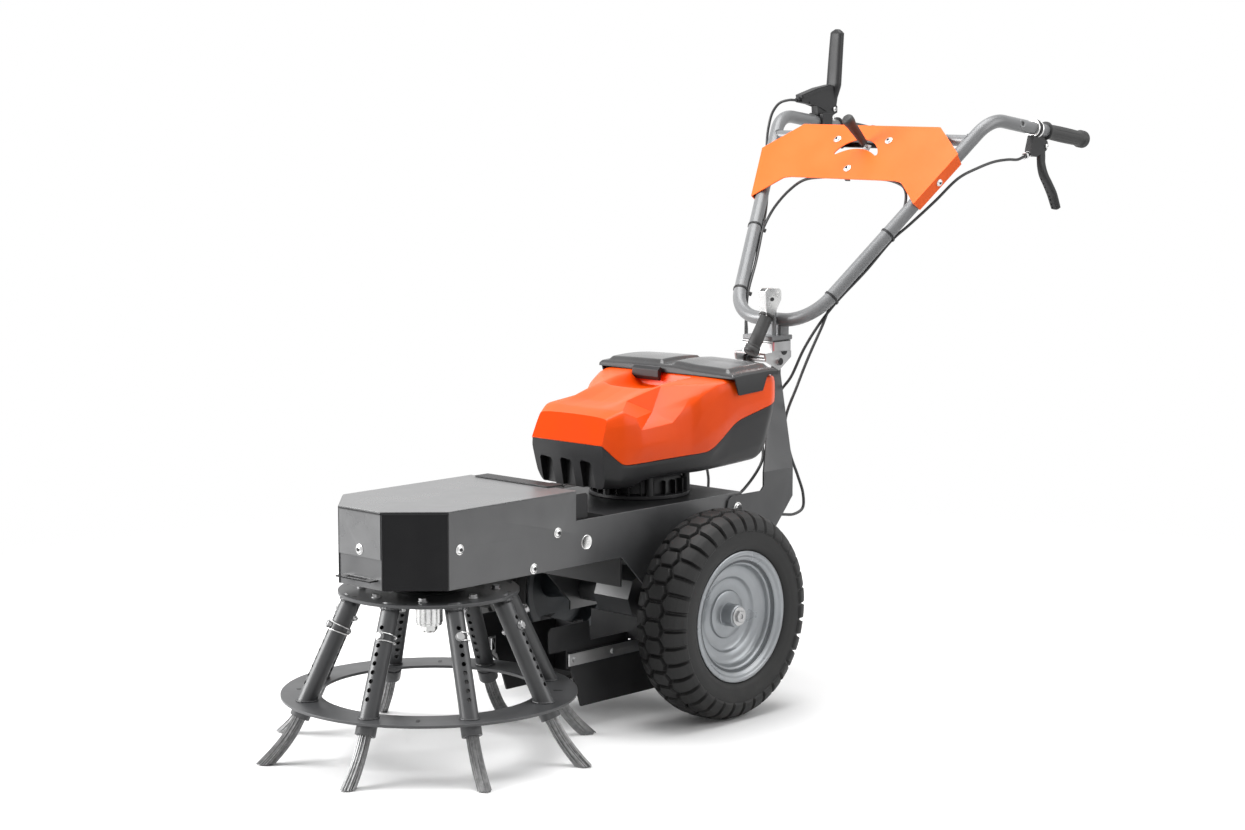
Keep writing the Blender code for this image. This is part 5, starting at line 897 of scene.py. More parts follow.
# Points at the parting line, low on the side, on the side's crease, on the shoulder, at the ridge's outer
# edge (the turning point) and inner edge, half way to the middle, and in the middle.
COVER_STATIONS = [
    (-1970, -1780, 930, 5360, 925, 5440, 918, 5530, 905, 5680, 880, 5835, 650, 5862, 350, 5872, 0, 5875),
    (-1600, -1500, 1150, 4960, 1150, 5120, 1145, 5300, 1110, 5720, 1010, 5965, 680, 5985, 350, 5982, 0, 5980),
    (-1200, -1200, 1230, 4975, 1260, 5120, 1285, 5300, 1215, 5750, 1030, 6030, 660, 6060, 350, 6020, 0, 6015),
    (-1000, -1000, 1262, 4985, 1292, 5140, 1315, 5325, 1250, 5780, 1040, 6065, 655, 6120, 350, 6040, 0, 6030),
    (-600, -600, 1325, 5005, 1352, 5170, 1372, 5360, 1320, 5830, 1065, 6150, 655, 6225, 350, 6165, 0, 6155),
    (-270, -270, 1375, 5018, 1395, 5190, 1408, 5388, 1375, 5890, 1100, 6225, 660, 6300, 400, 6270, 0, 6265),
    (-190, -190, 1385, 5020, 1405, 5195, 1418, 5395, 1385, 5910, 1115, 6245, 665, 6320, 450, 6150, 0, 6140),
    (40, 40, 1400, 5025, 1425, 5200, 1440, 5440, 1430, 5980, 1170, 6300, 680, 6370, 500, 6125, 0, 6115),
    (220, 220, 1435, 5030, 1480, 5250, 1520, 5800, 1500, 6140, 1280, 6350, 700, 6400, 530, 6130, 0, 6120),
    (450, 450, 1478, 5048, 1560, 5400, 1590, 6050, 1545, 6270, 1380, 6385, 730, 6420, 560, 6140, 0, 6130),
    (620, 620, 1505, 5120, 1600, 5500, 1635, 6180, 1585, 6350, 1470, 6405, 760, 6435, 580, 6150, 0, 6140),
    (820, 820, 1545, 5280, 1640, 5640, 1680, 6250, 1640, 6385, 1530, 6425, 790, 6445, 600, 6160, 0, 6150),
    (860, 860, 1552, 5320, 1646, 5660, 1688, 6260, 1650, 6390, 1540, 6430, 790, 6445, 600, 6445, 0, 6445),
    (1110, 1110, 1600, 5540, 1680, 5820, 1720, 6280, 1690, 6400, 1570, 6435, 790, 6447, 600, 6447, 0, 6447),
    (1270, 1270, 1630, 5625, 1698, 5880, 1735, 6290, 1705, 6405, 1590, 6437, 790, 6447, 600, 6447, 0, 6447),
    (2080, 2080, 1725, 5845, 1745, 6000, 1745, 6290, 1715, 6405, 1600, 6437, 790, 6447, 600, 6447, 0, 6447),
    (2290, 2290, 1620, 5880, 1635, 6010, 1630, 6270, 1600, 6370, 1520, 6400, 790, 6410, 600, 6410, 0, 6410),
]

# The scoop in each side of the cover: its rim on the surface, and the point where its faces meet.
SCOOP_RIM = [(0.068, -0.103, 0.611), (0.075, -0.010, 0.633), (0.130, 0.015, 0.622), (0.137, -0.044, 0.569),
             (0.128, -0.128, 0.557), (0.118, -0.134, 0.583)]
SCOOP_HEART = (0.094, -0.056, 0.588)


def cut_corners(grid, axis, share):
    """Each span between two rows gives the two points a share in from its ends; the end rows stay."""
    grid = np.moveaxis(grid, axis, 0)
    near = grid[:-1] + (grid[1:] - grid[:-1]) * share
    far = grid[1:] - (grid[1:] - grid[:-1]) * share
    inner = np.stack([near, far], axis=1).reshape(-1, *grid.shape[1:])
    return np.moveaxis(np.concatenate([grid[:1], inner, grid[-1:]]), 0, axis)


def soft_grid(grid, rounds=((0.14, 0.14), (0.25, 0.25), (0.25, 0.25))):
    """Round a control grid by cutting its corners in both directions, first by a small share."""
    for along, across in rounds:
        grid = cut_corners(grid, 0, along)
        grid = cut_corners(grid, 1, across)
    return grid


def mirrored_rings(half):
    """Rings from the left half's rows: the right half is their mirror image, joined in the middle."""
    other = half[:, :-1][:, ::-1] * np.array([-1.0, 1.0, 1.0])
    return np.concatenate([half, other], axis=1)


def casing(name, stations, turning, power):
    """A closed casing from its stations: a point's y moves from the row's first to its second with height."""
    rows = []
    for first_y, second_y, *rest in (np.array(stations) / 10000).tolist():
        points = list(zip(rest[::2], rest[1::2]))
        first_z, second_z = points[0][1], points[turning][1]
        row = []
        for x, z in points:
            share = min(1.0, (z - first_z) / (second_z - first_z)) ** power
            row.append((x, first_y + (second_y - first_y) * share, z))
        rows.append(row)
    return mesh_of(name, skin(mirrored_rings(soft_grid(np.array(rows))), caps=(True, True)))


def scoop_mesh(side):
    """The cutter of one scoop: planes from the rim through the heart point, open to the outside."""
    heart = np.array(SCOOP_HEART)
    rim = np.array(SCOOP_RIM)
    far = heart + (rim - heart) * 1.9
    lid = far.mean(axis=0) + np.array([0.02, 0.0, 0.02])
    points = np.concatenate([[heart], far, [lid]]) * np.array([side, 1.0, 1.0])
    count = len(rim)
    faces = []
    for place in range(count):
        after = (place + 1) % count
        faces.append([0, 1 + place, 1 + after])
        faces.append([count + 1, 1 + after, 1 + place])
    return mesh_of("scoop", (points, faces))


def box_mesh(low, high):
    """A plain box between two corners."""
    return mesh_of("box", block(low[:2], high[:2], low[2], high[2]))


def battery_bay():
    """The bay's space: the same hole that the CAD casings have."""
    return box_mesh((-0.130, 0.099, 0.540), (0.130, 0.204, 0.70))


def motor_cover():
    """The orange upper casing with its two scoops and the open battery bay."""
    body = carved(casing("cover", COVER_STATIONS, 4, 1.0), [scoop_mesh(1), scoop_mesh(-1), battery_bay()])
    finished("cover_shell", body, "chassis", "orange_plastic", ("motor_cover",), 28, 0.0011, 3)


# Points at the parting line, at the belt, low on the side, at the foot (the turning point) and in the middle.
BASE_STATIONS = [
    (-1960, -1780, 920, 5345, 945, 5200, 900, 4700, 800, 4475, 0, 4475),
    (-1590, -1560, 1140, 4945, 1150, 4900, 1100, 4660, 980, 4475, 0, 4475),
    (-1200, -1180, 1220, 4960, 1220, 4900, 1150, 4650, 1040, 4475, 0, 4475),
    (-1000, -960, 1252, 4970, 1250, 4910, 1200, 4730, 1120, 4600, 0, 4540),
    (-270, -270, 1365, 5003, 1350, 4930, 1280, 4730, 1180, 4625, 0, 4540),
    (450, 450, 1468, 5033, 1445, 4950, 1350, 4740, 1240, 4615, 0, 4540),
    (620, 600, 1495, 5105, 1475, 5000, 1375, 4760, 1260, 4620, 0, 4540),
    (820, 780, 1535, 5265, 1510, 5150, 1400, 4780, 1280, 4630, 0, 4550),
    (1110, 1040, 1590, 5525, 1565, 5380, 1450, 4850, 1320, 4645, 0, 4560),
    (1270, 1180, 1620, 5610, 1595, 5460, 1470, 4900, 1350, 4655, 0, 4570),
    (2080, 1960, 1715, 5830, 1700, 5680, 1560, 5020, 1420, 4710, 0, 4600),
    (2290, 2150, 1610, 5865, 1600, 5700, 1480, 5050, 1340, 4750, 0, 4620),
]


def motor_base():
    """The black lower casing with front louvres, its flange, feet and studs."""
    louvres = []
    for x in (-0.062, -0.009, 0.044):
        arch = [(x - 0.0165, 0.438), (x + 0.0165, 0.438), (x + 0.0155, 0.492), (x + 0.0110, 0.499),
                (x - 0.0120, 0.502), (x - 0.0165, 0.497)]
        louvres.append(mesh_of("louvre", prism(arch, -0.25, -0.1700, "Y")))
    body = carved(casing("base", BASE_STATIONS, -2, 1.5), [*louvres, battery_bay()])
    finished("base_shell", body, "chassis", "black_plastic", ("motor_base",), 28, 0.0010, 3)
    here = Matrix.Translation((0, 0.010, 0))
    flange = lathe([(0.4127, 0.0130), (0.4127, 0.0980), (0.4137, 0.1000), (0.4195, 0.1000),
                    (0.4205, 0.0990), (0.4225, 0.0860), (0.4510, 0.0840), (0.4580, 0.0800),
                    (0.4580, 0.0130), (0.4127, 0.0130)], 72)
    parts = [placed(flange, here)]
    for angle in (35, 90, 145, 215, 270, 325):
        turn = math.radians(angle)
        at = here @ Matrix.Translation((0.0925 * math.cos(turn), 0.0925 * math.sin(turn), 0))
        foot = [(0.4200, 0.0), (0.4200, 0.0085), (0.4600, 0.0070), (0.4600, 0.0)]
        parts.append(placed(lathe(foot, 16), at))
    for turn in even_turn(24):
        rib = block((0.084, -0.0011), (0.0965, 0.0011), 0.4200, 0.4480)
        parts.append(placed(rib, here @ Matrix.Rotation(turn, 4, "Z")))
    finished("motor_flange", merged(*parts), "chassis", "black_plastic", (), 30, 0.0005)


def battery_lid():
    """The black lid: a slab with two raised panels, a channel between them and a skirt at each side.

    Height over the slab is a product of smooth steps, one for each edge of a panel, times a low crown.
    """
    half, front, rear, floor = 0.1780, 0.0832, 0.2200, 0.6455
    across = np.concatenate([np.linspace(-half, -0.1700, 5), np.linspace(-0.1690, 0.1690, 110),
                             np.linspace(0.1700, half, 5)])
    along = np.concatenate([np.linspace(front, 0.0960, 12), np.linspace(0.0985, 0.2050, 36),
                            np.linspace(0.2075, rear, 12)])
    x = across[None, :].repeat(len(along), axis=0)
    y = along[:, None].repeat(len(across), axis=1)
    size = np.abs(x)
    panel = (smooth_rise(size, 0.0120, 0.0080) * smooth_rise(-size, -0.1640, 0.0120)
             * smooth_rise(y, 0.0870, 0.0110) * smooth_rise(-y, -0.2160, 0.0120))
    crown = 0.0040 * (1 - (size / half) ** 2) + 0.0035 * np.sin(np.clip((y - 0.083) / 0.137, 0, 1) * np.pi)
    edge = np.minimum(np.minimum(half - size, y - front), rear - y)
    corner = 0.0050 * (1 - np.clip(edge / 0.0060, 0.0, 1.0)) ** 2
    z = 0.6560 + 0.0075 * panel + crown - corner
    z = z - 0.0030 * smooth_rise(x, 0.02, 0.06) * smooth_rise(-y, -0.20, 0.05)
    top = np.stack([x, y, z], axis=-1)
    hem = np.interp(along, [front, 0.0900, 0.1020, 0.1750, 0.1880, rear],
                    [floor, floor, 0.6120, 0.6160, floor, floor])
    right, left = (np.stack([np.full_like(along, edge), along, hem], axis=-1) for edge in (-0.1785, 0.1785))
    grid = np.concatenate([right[:, None], top, left[:, None]], axis=1)
    under = grid.copy()
    under[:, 1:-1, 2] = floor
    under[:, 1:-1, 0] = np.clip(under[:, 1:-1, 0], -0.1765, 0.1765)
    under[:, 0, 0] += 0.0025
    under[:, -1, 0] -= 0.0025
    ring = np.concatenate([grid, under[:, ::-1]], axis=1)
    finished("lid_shell", skin(ring, caps=(True, True)), "battery_lid", "lid_plastic", ("battery_lid",), 40)


def deck_brackets():
    """The black folded plates on the beam behind the arm's cover, and the tray's lip on the cover."""
    outline = [(-0.3160, 0.4130), (-0.2740, 0.4130), (-0.2740, 0.4560), (-0.2790, 0.4600), (-0.3160, 0.4600)]
    sides = [prism(outline, low, high, "X") for low, high in ((-0.1300, -0.1275), (0.1275, 0.1300))]
    rail = block((-0.1275, 0.4130), (0.1275, 0.4240), -0.2790, -0.2765, "Y")
    lip = prism([(-0.1150, -0.3300), (0.0780, -0.3300), (0.0820, -0.3260), (0.0820, -0.2950),
                 (-0.1150, -0.2950)], 0.4700, 0.4724)
    finished("deck_brackets", merged(*sides, rail, lip), "chassis", "black_paint", (), 30, 0.0006)


def arm_gaps():
    """The dark joints round the arm: under the cover's edge and down both corners of each chamfer."""
    rim = [(-0.1404, -0.3300), (-0.1404, -0.6412), (-0.0578, -0.7236), (-0.0552, -0.7265), (0.0552, -0.7265),
           (0.0578, -0.7236), (0.1404, -0.6412)]
    line = carried([(x, y, 0.4656) for x, y in rim], [(-0.0010, -0.0013), (0.0010, -0.0013), (0.0010, 0.0013),
                                                     (-0.0010, 0.0013)])
    corners = [block((x - 0.0008, y - 0.0008), (x + 0.0008, y + 0.0008), 0.3275, 0.4672)
               for x, y in ((-ARM_HALF, -0.6410), (-0.0572, -0.7242), (0.0572, -0.7242), (ARM_HALF, -0.6410))]
    finished("arm_gaps", merged(line, *corners), "chassis", "black_paint", (), 30)


def beam_screws():
    """The arm's bright screws, the plug in its sight hole and the column's foot screws."""
    spots = [((side * ARM_HALF, y, z), (side, 0, 0), 0.0088, 0.0042)
             for y, z in ((-0.6140, 0.3980), (-0.3650, 0.3966), (-0.4279, 0.3380)) for side in (-1, 1)]
    spots.append(((0.0, -0.7257, 0.3960), (0, -1, 0), 0.0088, 0.0042))
    spots += [((side * 0.1447, 0.1396, 0.3822), (side, 0, 0), 0.0108, 0.0080) for side in (-1, 1)]
    plug = lathe([(-0.004, 0.0), (-0.004, 0.0138), (0.0004, 0.0138), (0.0008, 0.0130), (0.0003, 0.0118),
                  (0.0004, 0.0)], 40)
    plugs_and_hole_shades = [placed(plug, onto((side, 0, 0), (side * ARM_HALF, -0.2877, 0.3690))) for side in (-1, 1)]
    screws("beam_screws", "beam_sockets", "chassis", spots, plugs_and_hole_shades)


# Handlebar

TUBE_RADIUS = 0.0140
CABLE_RADIUS = 0.0030
BOTTOM = Vector((0.0998, 0.4125, 0.7293))
TOP = Vector((0.2831, 0.7789, 1.1403))
GRIP_END = Vector((0.2831, 1.1255, 1.0902))
UP = Vector((0.0, TOP.y - BOTTOM.y, TOP.z - BOTTOM.z)).normalized()
SLANT = math.atan2(TOP.x - BOTTOM.x, (TOP.y - BOTTOM.y) / UP.y)
FACE = Vector((0.0, -UP.z, UP.y))
TIE = Vector((0.0, BOTTOM.y + 0.0418, BOTTOM.z + 0.0418 * UP.z / UP.y))
PLANE = Matrix(((1, 0, 0, 0), (0, UP.y, FACE.y, TIE.y), (0, UP.z, FACE.z, TIE.z), (0, 0, 0, 1)))
ALONG_GRIP = (GRIP_END - TOP).normalized()
PLATE_OFF = TUBE_RADIUS + 0.0006
SPEED_PIVOT_AT = 0.328
SLOT_RADIUS = 0.068
BRAKE_PIVOT = (0.9727, 1.0794)
SPLIT_Z = 0.660
DEADMAN_PIVOT = (0.9580, 1.1500)


def leg_half(at):
    """Half the distance between the legs' centre lines, at a length up the leg plane."""
    bottom = (BOTTOM.y - TIE.y) / UP.y
    top = (TOP.y - TIE.y) / UP.y
    return BOTTOM.x + (TOP.x - BOTTOM.x) * (at - bottom) / (top - bottom)


def plane_point(x, at, off=0.0):
    """A point on the legs' plane, a length up it and a distance off its front."""
    return PLANE @ Vector((x, at, off))


def bar(path, wide, deep, power, sides=36):
    """A rounded bar along a path.

    Ring i is the superellipse |u / wide[i]|^power + |v / deep[i]|^power = 1, with u along X and v square
    to it and to the path.
    """
    across = np.array([1.0, 0.0, 0.0])
    along = np.gradient(path, axis=0)
    along /= np.linalg.norm(along, axis=1, keepdims=True)
    lift = np.cross(along, across)
    lift /= np.linalg.norm(lift, axis=1, keepdims=True)
    turn = even_turn(sides)
    u = np.sign(np.cos(turn)) * np.abs(np.cos(turn)) ** (2 / power)
    v = np.sign(np.sin(turn)) * np.abs(np.sin(turn)) ** (2 / power)
    grid = (path[:, None] + across * (np.asarray(wide)[:, None] * u)[:, :, None]
            + lift[:, None] * (np.asarray(deep)[:, None] * v)[:, :, None])
    return skin(grid, caps=(True, True))


def spaced(path, step=0.010):
    """A path with points added evenly on its long spans."""
    path = np.asarray(path, dtype=float)
    points = [path[:1]]
    for start, end in zip(path[:-1], path[1:]):
        count = max(1, int(round(np.linalg.norm(end - start) / step)))
        share = np.arange(1, count + 1)[:, None] / count
        points.append(start + (end - start) * share)
    return np.concatenate(points)


def handlebar():
    """The bent tube with its cross tube, weld beads and the nut in the left arm."""
    half = rounded_line([(0.0, BOTTOM.y, BOTTOM.z), BOTTOM, TOP, GRIP_END - ALONG_GRIP * 0.008],
                        [0.095, 0.080], 20)
    path = np.concatenate([half[1:][::-1] * (-1, 1, 1), half])
    tube = carried(spaced(path), circle(TUBE_RADIUS, 40), up=(0, 0, 1))
    at = 0.427
    reach = leg_half(at)
    left, right = plane_point(-reach, at), plane_point(reach, at)
    cross = placed(rod(0.0, 2 * reach, 0.0118, 36), onto(right - left, left))
    finished("bent_tube", tube, "handlebar", "tube_paint", ("handlebar_frame",), 40)
    finished("cross_tube", cross, "handlebar", "tube_paint", (), 40)
    beads = []
    for side in (-1, 1):
        turn = np.linspace(0.0, 2 * np.pi, 60)
        y = 0.0128 * np.cos(turn)
        z = 0.0128 * np.sin(turn)
        inward = np.sqrt(np.maximum(TUBE_RADIUS ** 2 - z ** 2, 0.0)) / math.cos(SLANT)
        x = reach - inward + y * math.tan(SLANT)
        line = [plane_point(side * px, at + py, pz) for px, py, pz in zip(x, y, z)]
        lumps = 1.0 + 0.14 * np.sin(turn * 14)
        beads.append(carried(line, circle(0.0018, 8), scale=lumps))
    finished("tube_welds", merged(*beads), "handlebar", "tube_paint", (), 60)
    nut = [(0.0, 0.0042), (0.0, 0.0088), (0.0150, 0.0088), (0.0160, 0.0080), (0.0160, 0.0050),
           (0.0140, 0.0042), (0.0, 0.0042)]
    stand = onto((1, -0.25, 0.2), TOP + ALONG_GRIP * 0.0990)
    finished("arm_nut", placed(lathe(nut, 28), stand), "handlebar", "tube_paint", (), 40, 0.0004)
    # Painted shade: a black rod fills the nut's bore, for the shade in the hole.
    finished("nut_hole", placed(rod(0.0, 0.0148, 0.0043, 20), stand), "handlebar", "black_paint", (), 40)


def grips():
    """The rubber grips: a flange, a waisted body with long grooves, and a ridged end flange.

    The body's radius is r(h) - g * dip, where dip is a cosine bell round each of ten long grooves that
    fade out at both ends.
    """
    length = 0.150
    line = [(-0.0002, 0.0143), (-0.0002, 0.0185), (0.0006, 0.0200), (0.0030, 0.0202), (0.0042, 0.0192),
            (0.0052, 0.0172), (0.0100, 0.0163)]
    for h in np.linspace(0.014, 0.126, 29):
        line.append((h, 0.0160 + 0.0008 * math.sin(math.pi * (h - 0.014) / 0.112)))
    line += [(0.1300, 0.0163), (0.1335, 0.0176), (0.1350, 0.0190), (0.1372, 0.0190), (0.1378, 0.0185),
             (0.1400, 0.0185), (0.1406, 0.0190), (0.1428, 0.0190), (0.1434, 0.0185), (0.1456, 0.0185),
             (0.1462, 0.0190), (0.1480, 0.0186), (0.1493, 0.0172), (0.1500, 0.0150), (0.1500, 0.0095),
             (0.1488, 0.0085), (0.1488, 0.0)]
    line = np.array(line)
    segments = 120
    turn = even_turn(segments)
    fade = np.clip((line[:, 0] - 0.016) / 0.010, 0, 1) * np.clip((0.122 - line[:, 0]) / 0.010, 0, 1)
    wave = (turn * 10 / (2 * np.pi)) % 1.0 - 0.5
    dip = 0.0010 * np.clip(np.cos(wave * np.pi / 0.36), 0, 1) * (np.abs(wave) < 0.18)
    radius = line[:, 1:] - fade[:, None] * dip[None, :]
    height = np.repeat(line[:, :1], segments, axis=1)
    grid = np.stack([radius * np.cos(turn), radius * np.sin(turn), height], axis=-1)
    sleeve = placed(skin(grid, caps=(True, False)), onto(ALONG_GRIP, GRIP_END - ALONG_GRIP * length))
    for name, flip in SIDES:
        finished(name + "_grip_skin", placed(sleeve, flip), "handlebar", "grip_rubber", (name + "_grip",), 50)


def rounded_outline(points, radii, steps=6):
    """A closed outline with each corner turned into a curve as wide as an arc of its own radius."""
    line = []
    count = len(points)
    for place in range(count):
        corner = Vector(points[place])
        before = Vector(points[place - 1]) - corner
        after = Vector(points[(place + 1) % count]) - corner
        cut = min(radii[place] / math.tan(before.angle(after) / 2), before.length * 0.49, after.length * 0.49)
        start = corner + before.normalized() * cut
        end = corner + after.normalized() * cut
        for step in range(steps + 1):
            share = step / steps
            spot = start * (1 - share) ** 2 + corner * (2 * share * (1 - share)) + end * share ** 2
            line.append(tuple(spot))
    return line


def console():
    """The folded console plate, its crescent slot, flanges and screws, and the strip behind the slot.

    The slot's edges are at the radius R +- (2.0 + 10.8 sin(pi s)^0.7) mm, s along the arc.
    """
    edge = TUBE_RADIUS / math.cos(SLANT) + 0.0006
    sheet, off = 0.0020, PLATE_OFF
    shoulder = leg_half(0.377) + edge + sheet
    flare = leg_half(0.241) + edge + sheet
    half = [(0.183, 0.448), (shoulder, 0.377), (flare, 0.241), (0.173, 0.283), (0.157, 0.297), (0.139, 0.300)]
    outline = half + [(-x, at) for x, at in reversed(half)]
    radii = [0.003, 0.002, 0.003, 0.004, 0.020, 0.012]
    face = prism(rounded_outline(outline, radii + radii[::-1]), off, off + 0.0025)
    turn = np.radians(np.linspace(145.0, 35.0, 49))
    share = np.linspace(0.0, 1.0, 49)
    half_width = 0.0020 + 0.0108 * np.sin(np.pi * share) ** 0.7
    edges = [np.stack([r * np.cos(turn), SPEED_PIVOT_AT + r * np.sin(turn)], axis=-1)
             for r in (SLOT_RADIUS + half_width, SLOT_RADIUS - half_width)]
    slot = np.concatenate([edges[0], edges[1][::-1]])
    flat = carved(mesh_of("plate", face), [mesh_of("slot", prism(slot, off - 0.01, off + 0.02))])
    flat.transform(PLANE)
    finished("console_face", flat, "handlebar", "orange_paint", ("console_plate",), 30, 0.0007, 3)
    flanges = []
    spots = []
    for side in (-1, 1):
        low, high = (flare - sheet, 0.2425), (shoulder - sheet, 0.3755)
        along = Vector((high[0] - low[0], high[1] - low[1]))
        out = Vector((along.y, -along.x)).normalized() * sheet
        corners = [(Vector(low) + along * place, drop)
                   for place, drop in ((0.0, 0.0), (0.030, 0.0245), (0.970, 0.0245), (1.0, 0.0))]
        rings = [[(side * (spot.x + out.x * shift), spot.y + out.y * shift, off + 0.0012 - drop)
                  for spot, drop in corners] for shift in (0.0, 1.0)]
        flanges.append(placed(skin(np.array(rings), caps=(True, True)), PLANE))
        middle = Vector(low) + along * 0.52 + out
        place = PLANE @ Vector((side * middle.x, middle.y, off - 0.0120))
        spots.append((place, PLANE.to_3x3() @ Vector((side * out.x, out.y, 0.0)), 0.0066, 0.0036))
    finished("console_flanges", merged(*flanges), "handlebar", "orange_paint", (), 30, 0.0006, 3)
    posts = [(side * 0.069, SPEED_PIVOT_AT + 0.079) for side in (-1, 1)]
    spots += [(PLANE @ Vector((x, at, off + 0.0025)), FACE) for x, at in (*posts, (0.0, SPEED_PIVOT_AT))]
    screws("console_screws", "screw_sockets", "handlebar", spots)
    keeper = [placed(block((-0.085, 0.407), (0.085, 0.419), off - 0.0245, off - 0.0215), PLANE)]
    for x, at in posts:
        post = rod(off - 0.0225, off + 0.0005, 0.0055, 18)
        keeper.append(placed(placed(post, Matrix.Translation((x, at, 0))), PLANE))
    keeper.append(placed(block((-0.006, 0.309), (0.006, 0.312), off - 0.017, off + 0.001), PLANE))
    finished("slot_keeper", merged(*keeper), "handlebar", "black_paint", (), 30, 0.0004)
    nut = [(off - 0.0250, 0.0), (off - 0.0250, 0.0065), (off - 0.0245, 0.0072), (off - 0.0150, 0.0072),
           (off - 0.0150, 0.0)]
    nut = placed(placed(lathe(nut, 6), Matrix.Translation((0, SPEED_PIVOT_AT, 0))), PLANE)
    finished("pivot_nut", nut, "handlebar", "zinc", (), 25, 0.0003)


def speed_lever():
    """The speed lever: a flat arm behind the plate and a tapered grip out through the slot."""
    turn = math.radians(80.0)
    off = PLATE_OFF
    root = Vector((0, SPEED_PIVOT_AT, 0))
    knob = Vector((SLOT_RADIUS * math.cos(turn), SPEED_PIVOT_AT + SLOT_RADIUS * math.sin(turn), 0.0))
    tip = root + (knob - root) * 1.10
    out = Vector((-math.sin(turn), math.cos(turn), 0.0))
    boss = placed(rod(off - 0.0120, off - 0.0006, 0.0110, 36), Matrix.Translation((0, SPEED_PIVOT_AT, 0)))
    arm = prism([tuple((end + out * wide).xy) for end, wide in ((root, 0.009), (root, -0.009), (tip, -0.008),
                                                                (tip, 0.008))], off - 0.0100, off - 0.0060)
    shank = placed(rod(off - 0.009, off + 0.016, 0.0034, 24), Matrix.Translation(knob))
    finished("speed_arm", placed(merged(boss, arm, shank), PLANE), "speed_lever", "zinc", (), 30, 0.0005)
    sleeve = [(0.0, 0.0), (0.0, 0.0068), (0.0012, 0.0078), (0.0150, 0.0086), (0.0620, 0.0110),
              (0.0655, 0.0119), (0.0670, 0.0125), (0.0755, 0.0128), (0.0790, 0.0124), (0.0818, 0.0106),
              (0.0832, 0.0070), (0.0836, 0.0)]
    handle = placed(placed(lathe(sleeve, 48), Matrix.Translation(knob + Vector((0, 0, off + 0.0060)))), PLANE)
    finished("speed_grip", handle, "speed_lever", "grip_rubber", ("speed_lever",), 40)


def brake():
    """The brake lever's bracket with its band and adjuster, and the curved blade."""
    y, z = BRAKE_PIVOT
    x = TOP.x
    softened("brake_bracket", "handlebar", 0.0012)
    half = 0.0021
    wrap = [(-half, 0.0142), (-half, 0.0188), (-half + 0.0008, 0.0194), (half - 0.0008, 0.0194),
            (half, 0.0188), (half, 0.0142), (-half, 0.0142)]
    rings = []
    for place in (0.9310, 0.9385, 0.9460):
        at = TOP.lerp(GRIP_END, (place - TOP.y) / (GRIP_END.y - TOP.y))
        rings.append(placed(lathe(wrap, 48), onto(ALONG_GRIP, at)))
    finished("brake_bands", merged(rings[0], rings[2]), "handlebar", "bright_zinc", (), 40)
    finished("brake_band_rubber", rings[1], "handlebar", "black_plastic", (), 40)
    stop = Vector((0, -0.9531, -0.3028)).normalized()
    nozzle = [(-0.004, 0.0), (-0.004, 0.0066), (0.004, 0.0066), (0.0046, 0.0060), (0.0046, 0.0048),
              (0.0110, 0.0048), (0.0116, 0.0072), (0.0155, 0.0072), (0.0160, 0.0066), (0.0160, 0.0050),
              (0.0215, 0.0046), (0.0215, 0.0)]
    nozzle = placed(lathe(nozzle, 28), onto(stop, (x, y - 0.052, z - 0.0145)))
    finished("brake_adjuster", nozzle, "handlebar", "bright_zinc", (), 40)
    rivet = ((x + 0.0092, y, z), (1, 0, 0), 0.0048, 0.0026)
    screws("brake_rivet", "brake_rivet_socket", "handlebar", [rivet])
    path = smooth_path([(x, y + forward, z + up) for forward, up in (
        (-0.0040, 0.0070), (-0.0070, -0.0150), (-0.0060, -0.0380), (0.0030, -0.0600), (0.0200, -0.0810),
        (0.0370, -0.1030), (0.0480, -0.1230), (0.0550, -0.1370))])
    share = np.linspace(0.0, 1.0, len(path))
    taper = np.clip((1 - share) / 0.035, 0.0, 1.0) ** 0.5
    taper[0] = 0.6
    taper[-1] = 0.30
    wide = np.interp(share, [0.0, 0.25, 0.40, 0.7, 1.0], [0.0060, 0.0062, 0.0090, 0.0115, 0.0105]) * taper
    deep = np.interp(share, [0.0, 0.20, 0.40, 0.7, 1.0], [0.0080, 0.0115, 0.0085, 0.0068, 0.0062]) * taper
    holes = []
    for place in np.linspace(0.47, 0.93, 8):
        index = int(place * (len(path) - 1))
        at = path[index]
        along = path[index + 1] - path[index]
        front = np.cross(np.array([1.0, 0.0, 0.0]), along)
        front = Vector(front / np.linalg.norm(front))
        spot = Vector(at) + Vector((-0.0036, 0, 0))
        holes.append(placed(rod(-0.03, 0.03, 0.0019, 12), onto(front, spot)))
    blade = carved(mesh_of("blade", bar(path, wide, deep, 3.2)), [mesh_of("holes", merged(*holes))])
    finished("brake_blade", blade, "brake_lever", "black_plastic", ("brake_lever",), 40)


